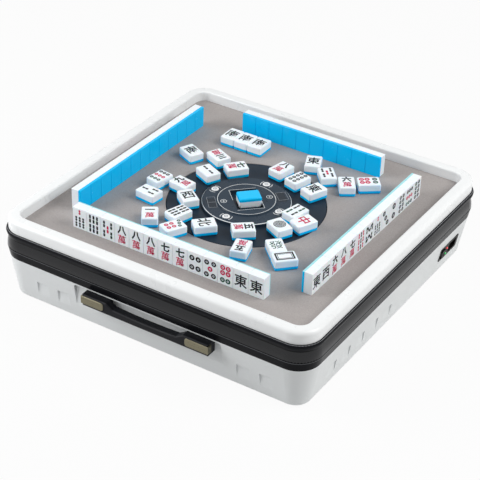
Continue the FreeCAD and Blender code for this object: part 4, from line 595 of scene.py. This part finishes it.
def face_dots(bm, number):
    """The circle suit. Each dot is given by its place, radius and ink."""
    layouts = {
        1: [(0, 0, 1.8, BLACK)],
        2: [(0, 7.6, 4.8, BLACK), (0, -7.6, 4.8, BLACK)],
        3: [(-5.6, 9.4, 3.9, BLACK), (0, 0, 3.9, BLACK), (5.6, -9.4, 3.9, BLACK)],
        4: [(x, y, 4.2, BLACK) for y in (7.4, -7.4) for x in (-5, 5)],
        5: [(-5.6, 9.4, 3.9, BLACK), (5.6, 9.4, 3.9, BLACK), (0, 0, 3.9, RED),
            (-5.6, -9.4, 3.9, BLACK), (5.6, -9.4, 3.9, BLACK)],
        6: [(-4.3, 10.4, 3.9, RED), (4.3, 10.4, 3.9, RED), (-4.3, 2.2, 3.9, RED), (4.3, 2.2, 3.9, RED),
            (-4.3, -9, 3.9, GREEN), (4.3, -9, 3.9, GREEN)],
        7: [(-6.2, 12, 2.7, GREEN), (0, 9.6, 2.7, GREEN), (6.2, 7.2, 2.7, GREEN),
            (-4, -0.6, 3.2, RED), (4, -0.6, 3.2, RED), (-4, -8.6, 3.2, RED), (4, -8.6, 3.2, RED)],
        8: [(x, y, 3.1, BLACK) for x in (-4.2, 4.2) for y in (-11, -3.7, 3.7, 11)],
        9: [(x, y, 2.9, ink) for x in (-6.6, 0, 6.6)
            for y, ink in ((-10, GREEN), (0, RED), (10, BLACK))],
    }
    for x, y, radius, ink in layouts[number]:
        mark_dot(bm, x, y, radius, ink)
    if number == 1:
        first = len(bm.faces)
        for radius in (3.6, 5.4, 7.2, 9.0):
            band_arc(bm, Vector((0, 0, 0)), radius - 1.1, radius, 0, FULL_TURN, 24, INK)
        paint(bm, first, BLACK)


def face_bamboo(bm, number):
    """The bamboo suit. Each stick is given by its middle, length and ink."""
    layouts = {
        2: [(0, 7.4, 11, BLACK), (0, -7.4, 11, BLACK)],
        3: [(0, 7.4, 11, BLACK), (-5, -7.4, 11, BLACK), (5, -7.4, 11, BLACK)],
        4: [(-5, 7.4, 13.2, BLACK), (5, 7.4, 13.2, GREEN),
            (-5, -7.4, 13.2, GREEN), (5, -7.4, 13.2, BLACK)],
        5: [(-6, 7.4, 11, BLACK), (6, 7.4, 11, BLACK), (0, 0, 12, RED),
            (-6, -7.4, 11, BLACK), (6, -7.4, 11, BLACK)],
        6: [(x, y, 13.2, BLACK) for x in (-6, 0, 6) for y in (-7.4, 7.4)],
        7: [(0, 10.6, 7.5, RED)] + [(x, y, 8, BLACK) for x in (-6, 0, 6) for y in (-9.6, -0.8)],
        9: [(x, y, 8.6, ink) for x, ink in ((-6, RED), (0, BLACK), (6, RED)) for y in (-9.8, 0, 9.8)],
    }
    if number == 8:
        for x, up_turn in ((-7.6, 0), (-3.2, -0.62), (3.2, 0.62), (7.6, 0)):
            mark_stick(bm, x, 7.4, 11, BLACK, -up_turn)
            mark_stick(bm, x, -7.4, 11, BLACK, up_turn)
        return
    for x, y, length, ink in layouts[number]:
        mark_stick(bm, x, y, length, ink)


def face_frame(bm):
    """The white dragon's double frame."""
    first = len(bm.faces)
    for half_x, half_y, width in ((8.6, 13.2, 2.3), (5.4, 10.0, 0.8)):
        for low_x, high_x, low_y, high_y in (
            (-half_x, half_x, half_y - width, half_y), (-half_x, half_x, -half_y, width - half_y),
            (-half_x, width - half_x, width - half_y, half_y - width),
            (half_x - width, half_x, width - half_y, half_y - width),
        ):
            made = bmesh.ops.create_grid(bm, x_segments=1, y_segments=1, size=0.5)
            bmesh.ops.scale(bm, vec=(high_x - low_x, high_y - low_y, 1), verts=made["verts"])
            bmesh.ops.translate(bm, vec=((low_x + high_x) / 2, (low_y + high_y) / 2, 0),
                                verts=made["verts"])
            thicken_up(bm, list({face for vert in made["verts"] for face in vert.link_faces}), INK)
    paint(bm, first, BLACK)


# Strokes of the green dragon lie so close that fattening would run them together
HONOUR_INKS = {"發": (GREEN, PLAIN_WEIGHT), "中": (RED, HONOUR_WEIGHT)}


def face_honour(bm, character):
    """One large character: a wind or a dragon."""
    ink, weight = HONOUR_INKS.get(character, (BLACK, HONOUR_WEIGHT))
    mark_character(bm, character, 0, 0, 20.0, ink, weight)


FACE_KINDS = {"c": face_character, "d": face_dots, "b": face_bamboo}


def face_marks(face):
    """Mesh of the marks of one face: a suit and number such as c8, a character, frame or blank."""
    bm = bmesh.new()
    if face == "frame":
        face_frame(bm)
    elif len(face) == 2:
        FACE_KINDS[face[0]](bm, int(face[1]))
    elif face != "blank":
        face_honour(bm, face)
    return to_mesh(bm, "marks_of_" + face)


tile_meshes = {}


def tile_mesh(face, rounding, blue, edge=BLUE):
    """Mesh of one tile, face up, base at zero, in metres.

    The blue layer at its back is as thick as blue says, and edge is the material of the layer's
    top and right sides, where the pale cyan one is a painted highlight.
    """
    key = (face, rounding, blue, edge)
    if key in tile_meshes:
        return tile_meshes[key]
    bm = bmesh.new()
    bmesh.ops.create_cube(bm, size=1)
    bmesh.ops.scale(bm, vec=TILE, verts=bm.verts)
    bmesh.ops.translate(bm, vec=(0, 0, TILE[2] / 2), verts=bm.verts)
    bmesh.ops.bevel(bm, geom=bm.edges, offset=rounding, segments=3, profile=0.5, affect="EDGES",
                    material=-1)
    bmesh.ops.bisect_plane(bm, geom=list(bm.verts) + list(bm.edges) + list(bm.faces),
                           plane_co=(0, 0, blue), plane_no=UP)
    for entry in bm.faces:
        if entry.calc_center_median().z < blue:
            entry.material_index = edge if max(entry.normal.x, entry.normal.y) > 0.5 else BLUE
    smooth_small_faces(bm, flat_area=30.0)
    add_mesh(bm, face_marks(face), Matrix.Translation((0, 0, TILE[2])))
    bmesh.ops.scale(bm, vec=(MM, MM, MM), verts=bm.verts)
    tile_meshes[key] = to_mesh(bm, "tile_" + face)
    return tile_meshes[key]


# Rows on the four lifts, each read from its left end as seen from its own side

ROW_FACES = (
    ("b7", "b6", "b5", "c8", "c8", "c8", "c7", "c7", "d4", "d5", "d6", "東", "東"),
    ("東", "西", "c6", "c8", "c7", "b9", "b8", "b7", "d3", "d2", "d8", "d9", "d8"),
    ("c2", "c3", "c4", "d2", "d3", "d4", "b5", "b6", "南", "南"),
    ("b2", "b3", "b4", "c5", "c6", "c7", "d7", "d8", "d9", "西", "西", "發", "發"),
)


def tile_row(number):
    """The row that stands on the lift of one side, marks outward."""
    faces = ROW_FACES[number]
    bm = bmesh.new()
    pitch = TILE[0] + TILE_GAP
    stand = Matrix.Rotation(RIGHT_ANGLE, 4, "X")
    for place, face in enumerate(faces):
        x = ROW_MIDDLE[number] + pitch * (place - (len(faces) - 1) / 2)
        here = Matrix.Translation(Vector((x, TILE[2] - ROW_FACE[number], MAT_TOP + TILE[1] / 2)) * MM)
        tile = tile_mesh(face, ROW_TILE_ROUND, ROW_BLUE_LAYER[number], ROW_LIT_SIDE_FINISH[number])
        add_mesh(bm, tile, at_side(number) @ here @ stand)
    side = SIDES[number]
    made = piece(side + "_row_of_tiles", bm, TILE_MATERIALS, side + "_lift")
    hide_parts(side + "_tile_row")


for row_number in range(4):
    tile_row(row_number)


# Loose tiles: face, place as shares of the field's half side, and turn of the face's top

LOOSE_ON_MAT = (
    ("南", -0.588, 0.261, 66), ("d9", -0.564, -0.128, -8), ("b3", -0.517, -0.308, 84),
    ("c1", -0.362, -0.520, 34), ("d7", -0.168, -0.555, -27), ("東", 0.128, 0.597, 23),
    ("b5", 0.275, 0.516, 41), ("c6", 0.434, 0.487, 34), ("d6", 0.540, 0.580, 128),
    ("c5", 0.284, -0.510, 196), ("發", 0.449, -0.387, 46), ("frame", 0.552, -0.461, -44),
    ("南", -0.4874, 0.596, 0), ("南", -0.384, 0.596, 0), ("南", -0.2806, 0.596, 0),
)
LOOSE_ON_PLATE = (
    ("c3", -0.412, 0.312, 245), ("b2", -0.357, 0.109, 65), ("c9", -0.409, -0.103, 81),
    ("西", -0.289, -0.218, 53), ("b6", -0.233, -0.403, -17), ("北", -0.032, -0.424, -44),
    ("c7", -0.242, 0.257, -40), ("c5", 0.184, -0.330, -50), ("c8", 0.003, 0.407, -11),
    ("d8", 0.154, 0.357, -16), ("東", 0.304, 0.301, -22), ("b4", 0.344, 0.010, -13),
    ("中", 0.443, -0.059, -24), ("d1", 0.347, -0.181, 63),
)


def loose_tiles(name, table, body, node):
    """One piece of all the tiles in a table, which lie face up."""
    bm = bmesh.new()
    for face, x, y, degrees in table:
        here = placed(x * FIELD_HALF, y * FIELD_HALF, MAT_TOP, degrees)
        add_mesh(bm, tile_mesh(face, LOOSE_TILE_ROUND, LOOSE_BLUE_LAYER), here)
    made = piece(name, bm, TILE_MATERIALS, body)
    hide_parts(node)


def tile_in_well():
    """The tile that lies face down in the disc's square well."""
    bm = bmesh.new()
    face_down = Matrix.Translation((0, 0, TILE[2] * MM)) @ Matrix.Rotation(math.pi, 4, "Y")
    tile = tile_mesh("blank", LOOSE_TILE_ROUND, LOOSE_BLUE_LAYER)
    add_mesh(bm, tile, placed(*WELL_TILE) @ face_down)
    made = piece("tile_in_well", bm, TILE_MATERIALS, "centre_lift")
    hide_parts("well_tile")


loose_tiles("loose_tiles_on_mat", LOOSE_ON_MAT, "case", "mat_tiles")
loose_tiles("loose_tiles_on_plate", LOOSE_ON_PLATE, "centre_lift", "plate_tiles")
tile_in_well()


# Mat and lift pads

def rounded_sheet_edges(bm, half_x, half_y, radius, matrix):
    """Edges of a rounded rectangle, with no face inside."""
    made = bmesh.ops.create_grid(bm, x_segments=1, y_segments=1, size=1)
    bmesh.ops.scale(bm, vec=(half_x, half_y, 1), verts=made["verts"])
    if radius:
        made = bmesh.ops.bevel(bm, geom=made["verts"], offset=radius, segments=6, profile=0.5,
                               affect="VERTICES", material=-1)
    faces = list({face for vert in made["verts"] for face in vert.link_faces})
    verts = list({vert for face in faces for vert in face.verts})
    bmesh.ops.transform(bm, matrix=matrix, verts=verts)
    bmesh.ops.delete(bm, geom=faces, context="FACES_ONLY")


def on_outline(point):
    """True on the mat's outer edge and round its opening, but not round the slots."""
    farthest = max(abs(point.x), abs(point.y))
    return point.xy.length < RING_OPENING + 1 or farthest > MAT_HALF - MAT_CORNER


def play_mat():
    """The mat with its round opening and four slots, its outer edges rounded over."""
    bm = bmesh.new()
    flat = Matrix.Identity(4)
    rounded_sheet_edges(bm, MAT_HALF, MAT_HALF, MAT_CORNER, flat)
    bmesh.ops.create_circle(bm, cap_ends=False, segments=128, radius=RING_OPENING)
    for number in range(4):
        here = side_turn(number) @ Matrix.Translation((*PAD_CENTRE, 0))
        rounded_sheet_edges(bm, PAD_SIZE[0] / 2, PAD_SIZE[1] / 2, 0, here)
    bmesh.ops.triangle_fill(bm, edges=bm.edges, use_beauty=True, use_dissolve=False)
    top = list(bm.faces)
    made = bmesh.ops.extrude_face_region(bm, geom=top, use_keep_orig=True)
    raised = [entry for entry in made["geom"] if isinstance(entry, bmesh.types.BMVert)]
    bmesh.ops.translate(bm, vec=(0, 0, MAT_THICKNESS), verts=raised)
    bmesh.ops.recalc_face_normals(bm, faces=bm.faces)
    rim = [edge for edge in bm.edges if len(edge.link_faces) == 2
           and all(vert.co.z > MAT_THICKNESS - INK and on_outline(vert.co) for vert in edge.verts)
           and abs(edge.link_faces[0].normal.z - edge.link_faces[1].normal.z) > 0.5]
    bmesh.ops.bevel(bm, geom=rim, offset=MAT_EDGE_ROUND, segments=2, profile=0.5, affect="EDGES",
                    material=-1)
    bmesh.ops.transform(bm, verts=bm.verts,
                        matrix=placed(0, 0, MAT_TOP - MAT_THICKNESS) @ Matrix.Scale(MM, 4))
    smooth_small_faces(bm, flat_area=2e-6)
    made = piece("pile_mat", bm, (MAT,), "case")
    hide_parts("play_mat")


def lift_pad(number):
    """Mat skin on the top of one lift plate, its edges turned down a little."""
    bm = bmesh.new()
    bmesh.ops.create_cube(bm, size=1)
    bmesh.ops.scale(bm, vec=(*PAD_SIZE, PAD_THICKNESS), verts=bm.verts)
    rim = [edge for edge in bm.edges if all(vert.co.z > 0 for vert in edge.verts)]
    bmesh.ops.bevel(bm, geom=rim, offset=INK, segments=2, profile=0.5, affect="EDGES", material=-1)
    here = at_side(number) @ Matrix.Translation(Vector((*PAD_CENTRE, PAD_MIDDLE)) * MM)
    bmesh.ops.transform(bm, verts=bm.verts, matrix=here @ Matrix.Scale(MM, 4))
    smooth_small_faces(bm, flat_area=1e-3)
    side = SIDES[number]
    made = piece(side + "_lift_pad", bm, (MAT,), side + "_lift")


play_mat()
for pad_number in range(4):
    lift_pad(pad_number)


# Print on the control disc, drawn in millimetres from its middle

# Inner radius of a filled dot, which leaves a hole too small to see
POINT = 0.02


def bars_of_print(bm, turn, bars, z):
    """Thin flat bars, each given by its low and high corners, turned about the disc's middle."""
    for low_x, high_x, low_y, high_y in bars:
        made = bmesh.ops.create_grid(bm, x_segments=1, y_segments=1, size=0.5)
        bmesh.ops.scale(bm, vec=(high_x - low_x, high_y - low_y, 1), verts=made["verts"])
        bmesh.ops.translate(bm, vec=((low_x + high_x) / 2, (low_y + high_y) / 2, z), verts=made["verts"])
        bmesh.ops.rotate(bm, cent=(0, 0, 0), matrix=Matrix.Rotation(turn, 3, "Z"), verts=made["verts"])
        thicken_up(bm, list({face for vert in made["verts"] for face in vert.link_faces}), INK)


def printed(name, bm, material, body):
    bmesh.ops.transform(bm, verts=bm.verts, matrix=placed(0, 0, 0) @ Matrix.Scale(MM, 4))
    return piece(name, bm, (material,), body)


def on_circle(angle, radius, height):
    """Point at an angle on a level circle about the disc's middle."""
    return Vector((math.cos(angle), math.sin(angle), 0)) * radius + UP * height


def disc_rings():
    """A ring on the crown, one near the disc's edge, and two arcs about each button."""
    bm = bmesh.new()
    band_arc(bm, UP * CROWN_TOP, *CROWN_RING, 0, FULL_TURN, 96, INK)
    band_arc(bm, UP * DISC_RING_HEIGHT, *DISC_RING, 0, FULL_TURN, 96, INK, DISC_RING_DROP)
    half_arc = 0.62
    for number in range(4):
        angle = RIGHT_ANGLE * number - RIGHT_ANGLE
        centre = on_circle(angle, BUTTON_CIRCLE, DISC_TOP)
        for side in (RIGHT_ANGLE, RIGHT_ANGLE + math.pi):
            band_arc(bm, centre, *BUTTON_ARC, angle + side - half_arc, 2 * half_arc, 8, INK)
    printed("disc_rings", bm, PRINT, "centre_lift")


def well_edge():
    """White line round two opposite corners of the well."""
    bm = bmesh.new()
    half_x, half_y = WELL_HALF
    near, far = 0.3, 0.9
    bars_of_print(bm, -RIGHT_ANGLE / 2, (
        (-half_x - far, -half_x - near, -half_y - far, half_y),
        (-half_x - near, 0, -half_y - far, -half_y - near),
        (half_x + near, half_x + far, -half_y, half_y + far),
        (0, half_x + near, half_y + near, half_y + far),
    ), CROWN_TOP)
    printed("well_edge_line", bm, PRINT, "centre_lift")


def disc_symbols():
    """Two small round symbols on the crown, each a ring about a dot."""
    bm = bmesh.new()
    for degrees in (45, 225):
        centre = on_circle(math.radians(degrees), SYMBOL_CIRCLE, CROWN_TOP)
        band_arc(bm, centre, 3.9, 4.7, 0, FULL_TURN, 24, INK)
        band_arc(bm, centre, POINT, 1.5, 0, FULL_TURN, 12, INK)
    printed("disc_symbols", bm, PRINT, "centre_lift")


def window_outlines():
    """Thin frames round the two display windows, the left one with two cells."""
    bm = bmesh.new()
    line = 0.5
    windows = ((47.5, 53.0, 15.0, 21.0, 1), (-138.5, 50.4, 12.4, 29.0, 2))
    for degrees, distance, width, length, cells in windows:
        low_x, high_x = distance - width / 2, distance + width / 2
        half = length / 2
        bars = [(low_x, high_x, -half, line - half), (low_x, high_x, half - line, half),
                (low_x, low_x + line, line - half, half - line),
                (high_x - line, high_x, line - half, half - line)]
        if cells == 2:
            bars.append((low_x + line, high_x - line, -line / 2, line / 2))
        bars_of_print(bm, math.radians(degrees), bars, DISC_TOP)
    printed("window_outlines", bm, PRINT_GREY, "centre_lift")


def button_mark(number):
    """A grey ring and dot moulded into the cap of one button."""
    bm = bmesh.new()
    centre = on_circle(RIGHT_ANGLE * number - RIGHT_ANGLE, BUTTON_CIRCLE, BUTTON_TOP)
    band_arc(bm, centre, 1.9, 3.0, 0, FULL_TURN, 20, INK)
    band_arc(bm, centre, POINT, 0.9, 0, FULL_TURN, 12, INK)
    side = SIDES[number]
    printed(side + "_button_mark", bm, PRINT_GREY, side + "_button")


disc_rings()
well_edge()
disc_symbols()
window_outlines()
for button_number in range(4):
    button_mark(button_number)


# Painted highlight and painted shade lines round the bands, and lamps of the power panel

def push_out(verts, distance):
    """Move points level away from the case's rounded square, along its own outward direction."""
    for vert in verts:
        core = Vector((max(-STRAIGHT_HALF, min(STRAIGHT_HALF, vert.co.x)),
                       max(-STRAIGHT_HALF, min(STRAIGHT_HALF, vert.co.y)), vert.co.z))
        vert.co += (vert.co - core).normalized() * distance


def band_line(name, material, low, high, proud):
    """A thin line right round a band, between low and high, each a half width and its height."""
    bm = bmesh.new()
    half = low[0] - LINE_DEPTH
    made = bmesh.ops.create_grid(bm, x_segments=1, y_segments=1, size=half)
    bmesh.ops.bevel(bm, geom=made["verts"], offset=half - STRAIGHT_HALF, segments=14, profile=0.5,
                    affect="VERTICES", material=-1)
    bmesh.ops.delete(bm, geom=bm.faces[:], context="FACES_ONLY")
    ring = bmesh.ops.extrude_edge_only(bm, edges=bm.edges[:])
    outer = [entry for entry in ring["geom"] if isinstance(entry, bmesh.types.BMVert)]
    push_out(outer, LINE_DEPTH + proud)
    raised = bmesh.ops.extrude_face_region(bm, geom=bm.faces[:], use_keep_orig=True)
    upper = [entry for entry in raised["geom"] if isinstance(entry, bmesh.types.BMVert)]
    bmesh.ops.translate(bm, vec=(0, 0, high[1] - low[1]), verts=upper)
    push_out(upper, high[0] - low[0])
    bmesh.ops.recalc_face_normals(bm, faces=bm.faces)
    bmesh.ops.transform(bm, verts=bm.verts, matrix=placed(0, 0, low[1]) @ Matrix.Scale(MM, 4))
    piece(name, bm, (material,), "case")


def panel_lenses():
    """Red lamp over green lamp: a short barrel with a domed end, square to the sloping wall."""
    bm = bmesh.new()
    low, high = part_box("panel_lamps")
    out = Matrix.Rotation(RIGHT_ANGLE + WALL_SLOPE, 4, "Y")
    radius, length = LENS_RADIUS * MM, BARREL_LENGTH * MM
    insets_and_drops = ((1.6, 3.54), (3.26, 13.4))
    for number, (inset, drop) in enumerate(insets_and_drops):
        first = len(bm.faces)
        centre = Vector((high.x - inset * MM, (low.y + high.y) / 2, high.z - drop * MM))
        here = Matrix.Translation(centre) @ out
        bmesh.ops.create_uvsphere(bm, u_segments=24, v_segments=12, radius=radius, matrix=here)
        barrel = here @ Matrix.Translation((0, 0, -length / 2))
        bmesh.ops.create_cone(bm, cap_ends=True, segments=24, radius1=radius, radius2=radius,
                              depth=length, matrix=barrel)
        paint(bm, first, number)
    for face in bm.faces:
        face.smooth = len(face.verts) < 5
    made = piece("panel_lenses", bm, (LAMP_RED, LAMP_GREEN), "case")
    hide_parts("panel_lamps")


# Painted highlight along the lower band's widest edge
band_line("band_edge_highlight", EDGE_HIGHLIGHT_GREY, (252.3, 80.9), (252.5, 82.1), 0.1)
# Painted shade in a thin black line just above the widest edge
band_line("band_shade_line", BAND_SHADE_BLACK, (252.5, 82.3), (252.4, 84.0), 0.06)
# Painted highlight along the upper band's top edge
band_line("band_top_highlight", TOP_HIGHLIGHT_GREY, (252.3, 109.4), (251.9, 110.2), 0.12)
panel_lenses()


# Floor, lights and camera

FLOOR_HALF = 5
FLOOR_GREY = (0.6, 0.6, 0.6, 1)
LAMP_AIM = Vector((0, 0, 0.08))

# Share of white in the floor where it is seen. The rest takes the shadow
FLOOR_GLOW = 0.94

# Strength of the light from all round. Where it is seen itself, it is plain white
WORLD_LIGHT = 0.34


def seen_rays(tree):
    """1 for rays from the camera and for those that gloss or glass sends on, else 0."""
    path = tree.nodes.new("ShaderNodeLightPath")
    either = math_node(tree, "MAXIMUM", path.outputs["Is Camera Ray"], path.outputs["Is Glossy Ray"])
    return math_node(tree, "MAXIMUM", either, path.outputs["Is Transmission Ray"])


def floor():
    bm = bmesh.new()
    bmesh.ops.create_grid(bm, x_segments=1, y_segments=1, size=FLOOR_HALF)
    mesh = to_mesh(bm, "floor")
    made = bpy.data.objects.new("floor", mesh)
    bpy.context.scene.collection.objects.link(made)
    material, tree, shader = new_material("floor_white", Base_Color=FLOOR_GREY, Roughness=0.7)
    glow = tree.nodes.new("ShaderNodeEmission")
    mix = tree.nodes.new("ShaderNodeMixShader")
    tree.links.new(math_node(tree, "MULTIPLY", seen_rays(tree), FLOOR_GLOW), mix.inputs["Fac"])
    tree.links.new(shader.outputs["BSDF"], mix.inputs[1])
    tree.links.new(glow.outputs["Emission"], mix.inputs[2])
    tree.links.new(mix.outputs["Shader"], tree.nodes["Material Output"].inputs["Surface"])
    mesh.materials.append(material)


def area_lamp(name, place, size, power, colour=(1, 1, 1)):
    light = bpy.data.lights.new(name, "AREA")
    light.size = size
    light.energy = power
    light.color = colour
    made = bpy.data.objects.new(name, light)
    bpy.context.scene.collection.objects.link(made)
    made.location = place
    made.rotation_euler = (LAMP_AIM - Vector(place)).to_track_quat("-Z", "Y").to_euler()


def lights():
    world = bpy.data.worlds.new("studio")
    bpy.context.scene.world = world
    world.use_nodes = True
    background = world.node_tree.nodes["Background"]
    background.inputs["Color"].default_value = (1, 1, 1, 1)
    tree = world.node_tree
    strength = stretch(tree, seen_rays(tree), 0.0, 1.0, WORLD_LIGHT, 1.0)
    tree.links.new(strength, background.inputs["Strength"])
    area_lamp("key", place=(1.4, 0.35, 1.55), size=1.2, power=28, colour=(1, 0.995, 0.98))
    area_lamp("left_fill", place=(-1.2, -0.9, 0.9), size=1.0, power=19)


def camera():
    data = bpy.data.cameras.new("photo_view")
    data.sensor_width = 36
    data.lens = 115.405
    made = bpy.data.objects.new("photo_view", data)
    bpy.context.scene.collection.objects.link(made)
    target = Vector((33.53, -69.06, 100.0)) * MM + CASE_MIDDLE
    azimuth, elevation, roll = math.radians(31.44), math.radians(32.73), math.radians(2.062)
    distance = 2.14967
    made.matrix_world = (
        Matrix.Translation(target)
        @ Matrix.Rotation(azimuth, 4, "Z")
        @ Matrix.Rotation(RIGHT_ANGLE - elevation, 4, "X")
        @ Matrix.Rotation(roll, 4, "Z")
        @ Matrix.Translation((0, 0, distance))
    )
    bpy.context.scene.camera = made


floor()
lights()
camera()
bpy.context.scene.view_settings.view_transform = "Standard"
